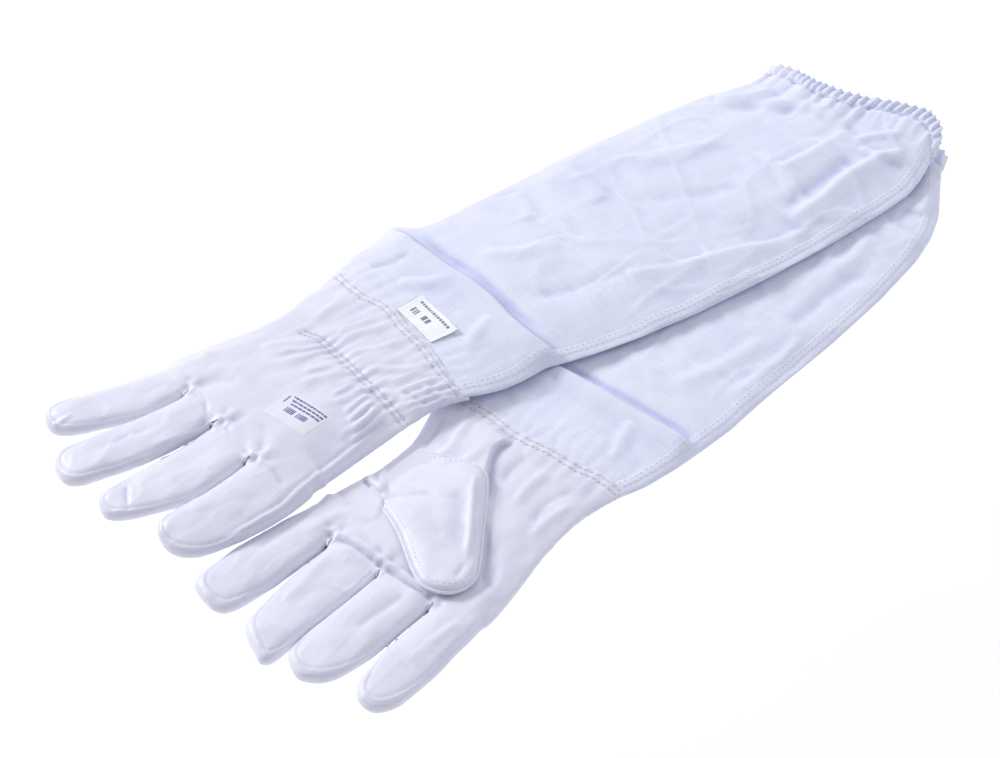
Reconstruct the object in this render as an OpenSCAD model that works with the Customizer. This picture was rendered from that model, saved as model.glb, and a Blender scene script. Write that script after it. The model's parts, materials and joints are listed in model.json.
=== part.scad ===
// A pair of beekeeping gloves: leather hands with a leather cuff, long cotton
// canvas gauntlets and an elastic hem at the elbow. The right glove lies palm up
// with its thumb folded over the palm. The left glove lies back up, its thumb
// folded under the palm, and its gauntlet rests across the right gauntlet.
// Each glove is drawn in its own frame: X from the fingertips to the elbow with
// 0 at the edge of the leather, Y towards the thumb side, Z from the back of the
// hand to the palm. Millimetres.

/* [Leather hand] */
// Thickness of the leather
leather = 1.2; // [0.8:0.1:1.4]
// Depth of the hand and fingers as they lie, back to palm
hand_depth = 13; // [12:0.5:13]
// Distance from the leather edge to the wrist elastic
cuff_len = 43; // [40:0.5:46]
// Depth of the leather cuff
cuff_depth = 12; // [10:0.5:12]
// Distance from the leather edge to the finger hinges
knuckle_x = 124; // [122:1:126]
// Thickness of the folded thumb
thumb_depth = 10; // [8:0.5:10]

/* [Fingers] */
// Length of the index finger past its hinge
index_len = 65; // [60:1:70]
// Length of the middle finger past its hinge
middle_len = 73; // [66:1:78]
// Length of the ring finger past its hinge
ring_len = 71; // [62:1:74]
// Length of the little finger past its hinge
little_len = 60; // [52:1:64]
// How far the left fingers droop towards the table, in degrees
left_droop = 8; // [0:1:8]

/* [Gauntlet] */
// Thickness of the canvas
canvas = 1.0; // [0.6:0.1:1.2]
// Depth of the flattened gauntlet
sleeve_depth = 10; // [9:0.5:10]
// Distance from the leather edge to the pressed crease
crease_x = 50; // [46:1:56]
// End of the left gauntlet on the thumb side
left_hem_a = 325; // [315:1:330]
// End of the left gauntlet on the little finger side
left_hem_b = 360; // [350:1:362]
// End of the right gauntlet on the thumb side
right_hem_a = 322; // [315:1:330]
// End of the right gauntlet on the little finger side
right_hem_b = 340; // [334:1:348]
// Width of the elastic hem
hem_w = 12; // [10:1:14]
// Width of the elastic band
elastic_w = 8; // [6:0.5:8]
// Number of gathers across one face of the hem
gathers = 22; // [12:1:28]

/* [Stitching] */
// Length of one stitch
stitch_len = 2.2; // [1.5:0.1:2.6]
// Distance from stitch to stitch
stitch_pitch = 3.4; // [3.2:0.1:5]

/* [Layout] */
// Turn of the left glove
left_turn = -7.2; // [-7.2:0.1:-7.2]
// Turn of the right glove
right_turn = 7.5; // [7.5:0.1:7.5]
// Height of the top of the left gauntlet above the table
left_top = 23.1; // [23.1:0.1:25]

/* [Hidden] */
LEFT = 0;
RIGHT = 1;
// place of each glove's leather edge: [x, y]
LEFT_AT = [-75.547, 48.623];
RIGHT_AT = [-77.64, -45.945];

step = 0.05;          // air between pieces that are sewn together
lap = 0.1;            // overlap of a rim with its panel
knuckle_gap = 3.5;    // room at the palm side of a finger hinge
knuckle_back = 2.2;   // room at the back of a finger hinge
wrist_gap = 5;        // room each side of the wrist hinge
crease_gap = 0.6;     // room each side of the crease
hand_end_x = -cuff_len - wrist_gap;
cuff_start_x = -cuff_len + wrist_gap;

// back and palm surfaces of each part: the left hand, cuff and gauntlet are
// flush on the palm side, the right ones on the back
function palm_z(side) = side == LEFT ? sleeve_depth : hand_depth;
function back_z(side) = palm_z(side) - hand_depth;
function cuff_back(side) = side == LEFT ? sleeve_depth - cuff_depth : 0;

// fingers: [Y of the hinge, splay towards the thumb in degrees, length, width];
// the left hand is bent a little towards the thumb side
INDEX = 0;
MIDDLE = 1;
RING = 2;
LITTLE = 3;
RIGHT_FINGERS = [
    [43, 4.5, index_len, 28],
    [13, -1, middle_len, 30],
    [-19, -0.5, ring_len, 30.5],
    [-51.5, 0, little_len, 28]];
LEFT_FINGERS = [
    [36.5, 14, index_len, 28.5],
    [7.5, 8, middle_len, 28.5],
    [-22.5, 5, ring_len, 29.5],
    [-54.5, 4.5, little_len, 28.5]];
function fingers(side) = side == LEFT ? LEFT_FINGERS : RIGHT_FINGERS;
function hinge_y(finger) = finger[0];
function splay(finger) = finger[1];
function length(finger) = finger[2];
function width(finger) = finger[3];

LEATHER = [0.89, 0.89, 0.94];
CANVAS = [0.84, 0.86, 0.94];
THREAD = [0.93, 0.92, 0.95];
ELASTIC = [0.80, 0.80, 0.84];
LABEL = [0.95, 0.96, 0.99];

// ---- shared shapes --------------------------------------------------------

// from a glove's own frame to the table; the left glove is turned palm down
module place(side) {
    if (side == RIGHT)
        translate([RIGHT_AT[0], RIGHT_AT[1], 0]) rotate([0, 0, right_turn]) children();
    else
        translate([LEFT_AT[0], LEFT_AT[1], left_top]) rotate([0, 0, left_turn])
            mirror([0, 0, 1]) children();
}

// flat outline given depth, from z towards the palm
module slab(z, depth) {
    translate([0, 0, z]) linear_extrude(depth) children();
}

// closed outline through the stations of the thumb side and the little finger
// side, drawn in by inset on the long sides and longer by extra at the ends
module strip(thumb_side, little_side, inset = 0, extra = 0) {
    thumb_last = thumb_side[len(thumb_side) - 1];
    little_last = little_side[len(little_side) - 1];
    polygon(concat(
        [[thumb_side[0][0] - extra, thumb_side[0][1] - inset]],
        [for (p = thumb_side) [p[0], p[1] - inset]],
        [[thumb_last[0] + extra, thumb_last[1] - inset],
            [little_last[0] + extra, little_last[1] + inset]],
        [for (i = [len(little_side) - 1:-1:0]) [little_side[i][0], little_side[i][1] + inset]],
        [[little_side[0][0] - extra, little_side[0][1] + inset]]));
}

// flattened tube open at both ends
module flat_tube(thumb_side, little_side, z, depth, wall) {
    difference() {
        slab(z, depth) strip(thumb_side, little_side);
        slab(z + wall, depth - 2 * wall) strip(thumb_side, little_side, wall, 5);
    }
}

stitch_w = 0.7;
stitch_h = 0.4;

// running stitches along Y, centred at height z
module stitch_row(x, y_start, y_end, z) {
    count = floor((y_end - y_start) / stitch_pitch);
    for (i = [0:count - 1])
        translate([x, y_start + (i + 0.5) * stitch_pitch, z])
            cube([stitch_w, stitch_len, stitch_h], center = true);
}

// height of stitches on the face that lies up: palm on the right, back on the left
function top_stitch_z(side, back, depth) =
    side == RIGHT ? back + depth + stitch_h / 2 + step : back - stitch_h / 2 - step;

// ---- hem ------------------------------------------------------------------

hem_extra = 1;        // how much deeper the hem is than the sleeve
hem_depth = sleeve_depth + hem_extra;
gather_depth = 0.9;
casing_wall = 2.8;
pocket_outer = 1.35;  // pocket for the elastic, as insets from the casing's outside
pocket_inner = 2.2;
pocket_margin = 2;    // casing left at each side of the pocket
elastic_play = 0.1;   // trimmed off each side of the elastic band

function hem_back(side) = side == LEFT ? -hem_extra : 0;

// ends of the hem line, and the line from the second to the first
function hem_thumb_end(side) = [side == LEFT ? left_hem_a : right_hem_a, 58];
function hem_little_end(side) = [side == LEFT ? left_hem_b : right_hem_b, -56];
function hem_span(side) = hem_thumb_end(side) - hem_little_end(side);
function hem_len(side) = norm(hem_span(side));

// frame of the hem: origin mid-hem, X away from the hand, Y along the hem line
module hem_frame(side) {
    middle = (hem_thumb_end(side) + hem_little_end(side)) / 2;
    span = hem_span(side);
    translate([middle[0], middle[1], 0]) rotate([0, 0, atan2(span[1], span[0]) - 90])
        children();
}

// outline across the hem, gathered if wavy: [along the hem, height]
module hem_section(side, inset, wavy = false) {
    half = hem_len(side) / 2 - inset;
    reach = half - 1.5;
    low = hem_back(side) + inset;
    high = hem_back(side) + hem_depth - inset;
    count = gathers * 2;
    along = [for (i = [0:count]) reach * (2 * i / count - 1)];
    wave = [for (i = [0:count]) wavy && i % 2 == 0 ? gather_depth : 0];
    polygon(concat(
        [for (i = [0:count]) [along[i], low + wave[i]]],
        [[half, low + 2], [half, high - 2]],
        [for (i = [count:-1:0]) [along[i], high - wave[i]]],
        [[-half, high - 2], [-half, low + 2]]));
}

// extrudes a hem section along the hem frame's X
module along_hem(x_start, x_end) {
    translate([x_start, 0, 0]) rotate([90, 0, 90]) linear_extrude(x_end - x_start) children();
}

module hem_casing(side) {
    pocket_start = -hem_w + pocket_margin;
    color(CANVAS) place(side) hem_frame(side) difference() {
        along_hem(-hem_w, 0) hem_section(side, 0, wavy = true);
        along_hem(-hem_w - 1, 1) hem_section(side, casing_wall);
        difference() {
            along_hem(pocket_start, -pocket_margin) hem_section(side, pocket_outer);
            along_hem(pocket_start, -pocket_margin) hem_section(side, pocket_inner);
        }
    }
}

module hem_elastic(side) {
    half = elastic_w / 2 - elastic_play;
    color(ELASTIC) place(side) hem_frame(side) difference() {
        along_hem(-hem_w / 2 - half, -hem_w / 2 + half) hem_section(side, pocket_outer + step);
        along_hem(-hem_w, 0) hem_section(side, pocket_inner - step);
    }
}

module hem_stitching(side) {
    reach = hem_len(side) / 2 - 4;
    color(THREAD) place(side) hem_frame(side)
        stitch_row(-hem_w + 1.2, -reach, reach, top_stitch_z(side, hem_back(side), hem_depth));
}

// ---- sleeve ---------------------------------------------------------------

seam_w = 0.85;        // reach of the side seam's fold from the sleeve
seam_h = 4;

// from the hem line back to the end of the sleeve, square to the hem
function hem_setback(side) =
    (hem_w + step) * [hem_span(side)[1], -hem_span(side)[0]] / hem_len(side);

// sleeve outline stations: [X, Y]
function sleeve_thumb_side(side) = [
    [crease_x + crease_gap, 66], [65, 62], [100, 62], [150, 64], [200, 64],
    [250, 61], [280, 56], [298, 55], hem_thumb_end(side) - hem_setback(side)];
function sleeve_little_side(side) = [
    [crease_x + crease_gap, -73], [100, -80], [150, -84], [205, -86],
    [258, -83.5], [288, -79], [308, -71.5], hem_little_end(side) - hem_setback(side)];

module sleeve_canvas(side) {
    color(CANVAS) place(side)
        flat_tube(sleeve_thumb_side(side), sleeve_little_side(side), 0, sleeve_depth, canvas);
}

// folded seam along the little finger side, ending one station short of the hem
module sleeve_side_seam(side) {
    stations = sleeve_little_side(side);
    last = len(stations) - 2;
    color(CANVAS) place(side) slab(sleeve_depth / 2 - seam_h / 2, seam_h) polygon(concat(
        [for (i = [0:last]) stations[i] - [0, step]],
        [for (i = [last:-1:0]) stations[i] - [0, seam_w]]));
}

// ---- cuff -----------------------------------------------------------------

// outline stations of the leather cuff and the canvas beside it: [X, Y]
LEATHER_THUMB_SIDE = [[cuff_start_x, 43], [-15, 50], [0, 57.5]];
LEATHER_LITTLE_SIDE = [[cuff_start_x, -60], [-15, -62], [0, -66]];
CANVAS_THUMB_SIDE = [[0.2, 57.5], [25, 63.5], [crease_x - crease_gap, 66]];
CANVAS_LITTLE_SIDE = [[0.2, -66], [25, -70], [crease_x - crease_gap, -73]];

wrist_elastic_size = [7, 80, 1];
wrist_elastic_y = -56;    // its little finger end
wrist_elastic_lift = 0.5; // above the inside of the back panel
wrist_stitch_lift = 0.28;
label_size = [17, 35, 0.5];
label_gap = 0.25;

module cuff_canvas(side) {
    color(CANVAS) place(side)
        flat_tube(CANVAS_THUMB_SIDE, CANVAS_LITTLE_SIDE, 0, sleeve_depth, canvas);
}

module leather_cuff(side) {
    color(LEATHER) place(side)
        flat_tube(LEATHER_THUMB_SIDE, LEATHER_LITTLE_SIDE, cuff_back(side), cuff_depth, leather);
}

// double row that joins leather to canvas, on the face that lies up
module join_stitching(side) {
    z = top_stitch_z(side, cuff_back(side), cuff_depth);
    color(THREAD) place(side) for (x = [-2.5, -6]) stitch_row(x, -59, 55, z);
}

module wrist_elastic(side) {
    x = -cuff_len - wrist_elastic_size[0] / 2;
    z = back_z(side) + leather + wrist_elastic_lift;
    color(ELASTIC) place(side) translate([x, wrist_elastic_y, z]) cube(wrist_elastic_size);
}

module wrist_stitching(side) {
    y_start = wrist_elastic_y + 1;
    y_end = wrist_elastic_y + wrist_elastic_size[1] - 1;
    z = back_z(side) + leather + wrist_stitch_lift;
    color(THREAD) place(side) for (x = [-1.8, 1.8])
        stitch_row(-cuff_len + x, y_start, y_end, z);
}

// label on the back of the canvas, next to the leather edge
module size_label(side) {
    color(LABEL) place(side) translate([1, -24, -label_gap - label_size[2]]) cube(label_size);
}

// ---- hand -----------------------------------------------------------------

hand_half = hand_depth / 2;
stub_len = 15.5;          // finger root on the hand, from its hinge gap
crotch_size = [9, 1.6];   // slot between two finger roots
rim_start_x = -104;       // the rim stops here, short of the finger roots
patch_size = [24, 31, 0.25];

// shift of the outline at the knuckles
function knuckle_shift(side) = side == LEFT ? -3 : 0;

module hand_outline(side) {
    all = fingers(side);
    shift = knuckle_shift(side);
    difference() {
        union() {
            polygon([
                [hand_end_x, 42], [-62, 42], [-88, 47], [-100, 50], [-110, 52 + shift],
                [-114, 30], [-114, -30],
                [-110, -65 + shift], [-95, -63 + shift / 2], [-70, -62], [hand_end_x, -60]]);
            for (finger = all)
                translate([-knuckle_x, hinge_y(finger)]) rotate(-splay(finger))
                    translate([knuckle_gap, -width(finger) / 2]) square([stub_len, width(finger)]);
        }
        // crotches between the fingers
        for (i = [0:2]) {
            near = all[i];
            next = all[i + 1];
            y = (hinge_y(near) - width(near) / 2 + hinge_y(next) + width(next) / 2) / 2;
            translate([-knuckle_x, y]) rotate(-(splay(near) + splay(next)) / 2)
                translate([-2, -crotch_size[1] / 2]) square(crotch_size);
        }
    }
}

// side walls of the hand, open at the fingers and the wrist
module hand_rim(side) {
    difference() {
        hand_outline(side);
        offset(delta = -leather) hand_outline(side);
        translate([rim_start_x - 56, -100]) square([56, 200]);
        translate([hand_end_x - 2, -100]) square([20, 200]);
    }
}

module back_panel(side) {
    back = back_z(side);
    color(LEATHER) place(side) {
        slab(back, leather) hand_outline(side);
        slab(back + leather - lap, hand_half - leather) hand_rim(side);
    }
}

module palm_panel(side) {
    color(LEATHER) place(side) {
        slab(palm_z(side) - leather, leather) hand_outline(side);
        slab(back_z(side) + hand_half + step, hand_half - leather) hand_rim(side);
    }
}

// thin patch on the back of the hand
module print_patch(side) {
    color(LABEL) place(side)
        translate([-99, -42, back_z(side) - step - patch_size[2]]) cube(patch_size);
}

// ---- fingers --------------------------------------------------------------

hinge_drop = 3;           // finger hinge below the palm surface
finger_back_z = hinge_drop - hand_depth;
fourchette_inset = 0.2;

// carries children from a finger's own frame, with its hinge at the origin and
// the finger along -X, to the table
module finger_frame(side, i) {
    finger = fingers(side)[i];
    droop = side == LEFT ? left_droop : 0;
    place(side) translate([-knuckle_x, hinge_y(finger), palm_z(side) - hinge_drop])
        rotate([0, droop, -splay(finger)]) children();
}

// outline from start past the hinge to the rounded tip, narrowing a little
module finger_outline(finger, inset, start) {
    root_half = width(finger) / 2 - inset;
    tip_half = 0.96 * root_half;
    tip_len = 1.15 * root_half;
    tip_x = -(length(finger) - inset) + tip_len;
    polygon(concat(
        [[-start, root_half], [tip_x, tip_half]],
        [for (a = [5:10:175]) [tip_x - tip_len * sin(a), tip_half * cos(a)]],
        [[tip_x, -tip_half], [-start, -root_half]]));
}

module finger_back(side, i) {
    color(LEATHER) finger_frame(side, i)
        slab(finger_back_z, leather) finger_outline(fingers(side)[i], 0, knuckle_back);
}

module finger_palm(side, i) {
    color(LEATHER) finger_frame(side, i)
        slab(hinge_drop - leather, leather) finger_outline(fingers(side)[i], 0, knuckle_gap);
}

// side wall between back and palm, round the tip and open at the hinge
module finger_fourchette(side, i) {
    finger = fingers(side)[i];
    color(LEATHER) finger_frame(side, i)
        slab(finger_back_z + leather + step, hand_depth - 2 * leather - 2 * step) difference() {
            finger_outline(finger, fourchette_inset, knuckle_gap);
            finger_outline(finger, fourchette_inset + leather, knuckle_gap - 5);
        }
}

// ---- thumb ----------------------------------------------------------------

thumb_half = thumb_depth / 2;
thumb_gap = 0.6;          // air between the palm and the folded thumb
welt_gap = 0.7;           // from the middle of the thumb to each rim
welt_depth = 1.2;
welt_reach = 0.9;         // how far the welt stands out
// folded thumb, round its tip between the two ends of its root: [X, Y]
THUMB_POINTS = [
    [-92, 24], [-98, 6], [-112, -16], [-118, -25], [-119.3, -33], [-117, -41],
    [-110, -46.5], [-101, -47], [-92, -43], [-71, -28], [-58, -10], [-52, 10]];

function thumb_z(side) = palm_z(side) + thumb_gap;
function thumb_root_y(side) = side == LEFT ? 47.5 : 35.9;

module thumb_outline(side) {
    y = thumb_root_y(side);
    polygon(concat([[-88, y]], THUMB_POINTS, [[-50, y]]));
}

// side wall of the thumb, open at its root
module thumb_rim(side) {
    difference() {
        thumb_outline(side);
        offset(delta = -leather) thumb_outline(side);
        translate([-100, thumb_root_y(side) - 2.5]) square([60, 10]);
    }
}

// half of the thumb that lies on the palm
module thumb_inner(side) {
    z = thumb_z(side);
    color(LEATHER) place(side) {
        slab(z, leather) thumb_outline(side);
        slab(z + leather - lap, thumb_half - leather - welt_gap) thumb_rim(side);
    }
}

module thumb_outer(side) {
    z = thumb_z(side);
    color(LEATHER) place(side) {
        slab(z + thumb_depth - leather, leather) thumb_outline(side);
        slab(z + thumb_half + welt_gap, thumb_half - leather - welt_gap + lap) thumb_rim(side);
    }
}

// rolled strip sewn into the seam between the two halves
module thumb_welt(side) {
    z = thumb_z(side) + thumb_half - welt_depth / 2;
    color(LEATHER) place(side) slab(z, welt_depth) difference() {
        offset(delta = welt_reach) thumb_outline(side);
        offset(delta = -leather) thumb_outline(side);
        translate([-105, thumb_root_y(side) - 3.5]) square([70, 10]);
    }
}

sleeve_canvas(RIGHT);  // right_sleeve_canvas
sleeve_side_seam(RIGHT);  // right_sleeve_side_seam
hem_casing(RIGHT);  // right_hem_casing
hem_elastic(RIGHT);  // right_hem_elastic
hem_stitching(RIGHT);  // right_hem_stitching
cuff_canvas(RIGHT);  // right_cuff_canvas
leather_cuff(RIGHT);  // right_leather_cuff
join_stitching(RIGHT);  // right_join_stitching
wrist_elastic(RIGHT);  // right_wrist_elastic
wrist_stitching(RIGHT);  // right_wrist_stitching
back_panel(RIGHT);  // right_back_panel
palm_panel(RIGHT);  // right_palm_panel
thumb_outer(RIGHT);  // right_thumb_outer
thumb_inner(RIGHT);  // right_thumb_inner
thumb_welt(RIGHT);  // right_thumb_welt
finger_back(RIGHT, INDEX);  // right_index_back
finger_palm(RIGHT, INDEX);  // right_index_palm
finger_fourchette(RIGHT, INDEX);  // right_index_fourchette
finger_back(RIGHT, MIDDLE);  // right_middle_back
finger_palm(RIGHT, MIDDLE);  // right_middle_palm
finger_fourchette(RIGHT, MIDDLE);  // right_middle_fourchette
finger_back(RIGHT, RING);  // right_ring_back
finger_palm(RIGHT, RING);  // right_ring_palm
finger_fourchette(RIGHT, RING);  // right_ring_fourchette
finger_back(RIGHT, LITTLE);  // right_little_back
finger_palm(RIGHT, LITTLE);  // right_little_palm
finger_fourchette(RIGHT, LITTLE);  // right_little_fourchette
sleeve_canvas(LEFT);  // left_sleeve_canvas
sleeve_side_seam(LEFT);  // left_sleeve_side_seam
hem_casing(LEFT);  // left_hem_casing
hem_elastic(LEFT);  // left_hem_elastic
hem_stitching(LEFT);  // left_hem_stitching
cuff_canvas(LEFT);  // left_cuff_canvas
leather_cuff(LEFT);  // left_leather_cuff
join_stitching(LEFT);  // left_join_stitching
wrist_elastic(LEFT);  // left_wrist_elastic
wrist_stitching(LEFT);  // left_wrist_stitching
size_label(LEFT);  // left_size_label
back_panel(LEFT);  // left_back_panel
palm_panel(LEFT);  // left_palm_panel
print_patch(LEFT);  // left_print_patch
thumb_outer(LEFT);  // left_thumb_outer
thumb_inner(LEFT);  // left_thumb_inner
thumb_welt(LEFT);  // left_thumb_welt
finger_back(LEFT, INDEX);  // left_index_back
finger_palm(LEFT, INDEX);  // left_index_palm
finger_fourchette(LEFT, INDEX);  // left_index_fourchette
finger_back(LEFT, MIDDLE);  // left_middle_back
finger_palm(LEFT, MIDDLE);  // left_middle_palm
finger_fourchette(LEFT, MIDDLE);  // left_middle_fourchette
finger_back(LEFT, RING);  // left_ring_back
finger_palm(LEFT, RING);  // left_ring_palm
finger_fourchette(LEFT, RING);  // left_ring_fourchette
finger_back(LEFT, LITTLE);  // left_little_back
finger_palm(LEFT, LITTLE);  // left_little_palm
finger_fourchette(LEFT, LITTLE);  // left_little_fourchette
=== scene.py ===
"""A pair of gloves with leather hands, flat leather thumbs and long canvas sleeves.

The right glove lies palm up near z = 0. The left glove lies back up, with its sleeve
across the right one. Each glove is modelled in its own frame, in millimetres: x runs from
the fingertips to the elbow with 0 at the leather's edge, y points to the thumb side, and
the third value is the height. Glove.world turns this into metres in the scene.
"""
import json
import math
from functools import lru_cache

import bpy
import bmesh
import numpy as np
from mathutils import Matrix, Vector
from mathutils.bvhtree import BVHTree


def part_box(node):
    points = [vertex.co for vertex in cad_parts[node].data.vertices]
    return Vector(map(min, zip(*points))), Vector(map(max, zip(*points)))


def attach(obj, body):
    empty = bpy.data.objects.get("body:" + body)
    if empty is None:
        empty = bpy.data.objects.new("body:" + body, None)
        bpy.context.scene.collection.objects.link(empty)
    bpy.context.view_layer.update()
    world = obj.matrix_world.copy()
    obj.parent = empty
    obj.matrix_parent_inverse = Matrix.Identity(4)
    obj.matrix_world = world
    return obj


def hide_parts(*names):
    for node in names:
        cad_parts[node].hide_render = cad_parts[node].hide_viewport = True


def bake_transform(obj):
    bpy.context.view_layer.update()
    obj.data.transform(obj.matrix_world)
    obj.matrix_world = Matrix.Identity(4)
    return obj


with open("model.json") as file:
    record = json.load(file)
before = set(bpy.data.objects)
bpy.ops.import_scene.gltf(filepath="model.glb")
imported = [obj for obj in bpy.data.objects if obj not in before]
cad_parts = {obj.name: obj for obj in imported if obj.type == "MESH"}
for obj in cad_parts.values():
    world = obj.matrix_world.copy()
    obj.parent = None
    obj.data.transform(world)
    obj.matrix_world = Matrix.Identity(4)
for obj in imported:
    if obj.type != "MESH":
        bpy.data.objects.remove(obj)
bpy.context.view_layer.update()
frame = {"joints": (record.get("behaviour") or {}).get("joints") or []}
JOINTS = {joint["name"]: joint for joint in frame["joints"]}

WRIST_X, WRIST_Y = -43, -5      # the wrist joint in a glove's frame
HINGE_X = -124.0                # the fingers' hinges
CUFF_END_X = -65.0              # cut between leather cuff and hand panels
HAND_END_X = -110.0             # cut between hand panels and fingers
FOLD_X = 50                     # cut between cuff canvas and sleeve canvas
SLEEVE_START_X = -9.0           # canvas end hidden in the leather cuff
HEM_STITCH = 11.3               # from the hem's edge to its stitch line
JOIN_ROWS = (2.0, 5.4)          # stitch rows, back from the leather's edge
WRIST_ROWS = (-1.7, 1.7)        # stitch rows each side of the wrist line
TABLE = 0.6                     # the right glove is pressed flat below this height
TURN = 2 * np.pi


class Glove:
    def __init__(self, side):
        self.side = side
        self.left = side == "left"
        joint = JOINTS[side + "_wrist"]
        across = np.array(joint["axis"], float) * (-1 if self.left else 1)
        self.across = across / np.linalg.norm(across)
        self.along = np.array([self.across[1], -self.across[0], 0.0])
        wrist = WRIST_X * self.along + WRIST_Y * self.across
        self.origin = np.array(joint["pos_m"], float) - wrist / 1000
        self.origin[2] = 0

    def world(self, points):
        points = np.asarray(points, float)
        return (self.origin
                + (points[..., 0:1] * self.along + points[..., 1:2] * self.across) / 1000
                + points[..., 2:3] * np.array([0, 0, 0.001]))

    def turn(self, normals):
        return (normals[..., 0:1] * self.along + normals[..., 1:2] * self.across
                + normals[..., 2:3] * np.array([0, 0, 1.0]))

    def point(self, x, y=0):
        return Vector(self.world(np.array([x, y, 0], float)))

    def blend(self, ob, first, second, start, end):
        self.point(*start)
        self.point(*end)
        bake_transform(ob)

    def bend_at_wrist(self, ob):
        self.blend(ob, "cuff", "hand", (WRIST_X + 10,), (WRIST_X - 10,))

    def bend_at_fold(self, ob):
        self.blend(ob, "cuff", "sleeve", (40,), (62,))


# ---------------------------------------------------------------------------
# curves, noise and creases


def ease(start, end, x):
    """smooth step from 0 at start to 1 at end"""
    t = np.clip((np.asarray(x, float) - start) / (end - start), 0, 1)
    return t * t * (3 - 2 * t)


def bell(x, width):
    return np.exp(-(x / width) ** 2)


def signed_power(x, power):
    return np.sign(x) * np.abs(x) ** power


def curve(points, soft=3):
    """function through (x, value) points, blurred over soft mm"""
    table = np.array(sorted(points), float)
    xs = np.arange(table[0, 0] - 40, table[-1, 0] + 40.5, 0.5)
    values = np.interp(xs, table[:, 0], table[:, 1])
    radius = int(soft * 6)
    kernel = np.exp(-0.5 * (np.arange(-radius, radius + 1) * 0.5 / soft) ** 2)
    kernel /= kernel.sum()
    values = np.convolve(np.pad(values, radius, mode="edge"), kernel, "valid")
    return lambda x: np.interp(x, xs, values)


@lru_cache(maxsize=None)
def noise_table(seed):
    return np.random.RandomState(seed).uniform(-1, 1, (64, 64))


def noise(x, y, cell, seed):
    """smooth value noise from -1 to 1, cell mm to a step"""
    table = noise_table(seed)
    x = np.asarray(x, float) / cell + 1000.3
    y = np.asarray(y, float) / cell + 1000.7
    ix, iy = np.floor(x).astype(int), np.floor(y).astype(int)
    fx, fy = x - ix, y - iy
    fx = fx * fx * fx * (fx * (fx * 6 - 15) + 10)
    fy = fy * fy * fy * (fy * (fy * 6 - 15) + 10)
    near = table[ix % 64, iy % 64] * (1 - fx) + table[(ix + 1) % 64, iy % 64] * fx
    far = table[ix % 64, (iy + 1) % 64] * (1 - fx) + table[(ix + 1) % 64, (iy + 1) % 64] * fx
    return near * (1 - fy) + far * fy


def layered_noise(x, y, cell, seed, layers=3):
    return sum(noise(x, y, cell / 2 ** i, seed + i) / 2 ** i for i in range(layers))


def crest(values, power):
    """turns noise into narrow crests where it crosses zero"""
    return np.clip(1 - np.abs(values) * 2, 0, 1) ** power


def resample(points, step):
    points = np.array(points, float)
    lengths = np.linalg.norm(np.diff(points, axis=0), axis=1)
    run = np.r_[0, np.cumsum(lengths)]
    count = max(2, int(round(run[-1] / step)) + 1)
    stops = np.linspace(0, run[-1], count)
    return np.stack([np.interp(stops, run, column) for column in points.T], 1)


def smooth_line(points, step=2.0, passes=3):
    line = resample(points, step)
    for _ in range(passes):
        smoothed = line.copy()
        smoothed[1:-1] = (line[:-2] + 2 * line[1:-1] + line[2:]) / 4
        line = smoothed
    return line


def at_shares(line, shares):
    """points of a flat line at shares of its length, 0 to 1"""
    steps = np.linspace(0, 1, len(line))
    return np.stack([np.interp(shares, steps, line[:, k]) for k in (0, 1)], 1)


def line_distance(x, y, points, reach):
    """signed distance to a line (left of its direction positive) and the share along it"""
    line = smooth_line(points)
    distance, share = np.full(x.shape, 1e6), np.zeros(x.shape)
    near = np.nonzero((x > line[:, 0].min() - reach) & (x < line[:, 0].max() + reach)
                      & (y > line[:, 1].min() - reach) & (y < line[:, 1].max() + reach))[0]
    nx, ny = x[near], y[near]
    best = np.full(len(near), 1e6)
    sign, place = np.zeros(len(near)), np.zeros(len(near))
    count = len(line) - 1
    for i in range(count):
        start = line[i]
        step = line[i + 1] - start
        t = np.clip(((nx - start[0]) * step[0] + (ny - start[1]) * step[1])
                    / (float(step @ step) + 1e-9), 0, 1)
        gap = np.hypot(nx - start[0] - t * step[0], ny - start[1] - t * step[1])
        turn = step[0] * (ny - start[1]) - step[1] * (nx - start[0])
        closer = gap < best
        best[closer] = gap[closer]
        sign[closer] = np.sign(turn[closer]) + (turn[closer] == 0)
        place[closer] = (i + t[closer]) / count
    distance[near] = best * sign
    share[near] = place
    return distance, share


def fading_line(x, y, points, reach, ends):
    """distance to a line, and a strength that fades over the given shares at its ends"""
    distance, share = line_distance(x, y, points, reach)
    fade = ease(0, ends[0], share) * ease(0, ends[1], 1 - share)
    return distance, np.where(np.abs(distance) > 1e5, 0, fade)


def ridge(x, y, points, width, height, ends, spread=1):
    """a rounded bump along a line, or a groove if height is negative. A larger spread
    works it out over a wider strip"""
    distance, fade = fading_line(x, y, points, 3.2 * (spread * width), ends)
    return height * fade * bell(distance, width)


def fold(x, y, points, width, height, ends, run):
    """a steep side to the left of a line and a slope run mm wide to its right"""
    distance, fade = fading_line(x, y, points, 3.2 * run, ends)
    slope = np.exp(-(np.abs(distance) / run) ** 1.5)
    return height * fade * np.where(distance > 0, bell(distance, width), slope)


# ---------------------------------------------------------------------------
# meshes


def quads(rows, columns, closed=False):
    """faces of a grid of points, or of a tube if every row is a closed ring"""
    i, j = np.meshgrid(np.arange(rows - 1), np.arange(columns if closed else columns - 1),
                       indexing="ij")
    near, far = i * columns, (i + 1) * columns
    after = (j + 1) % columns
    return np.stack([near + j, near + after, far + after, far + j], -1).reshape(-1, 4)


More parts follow.
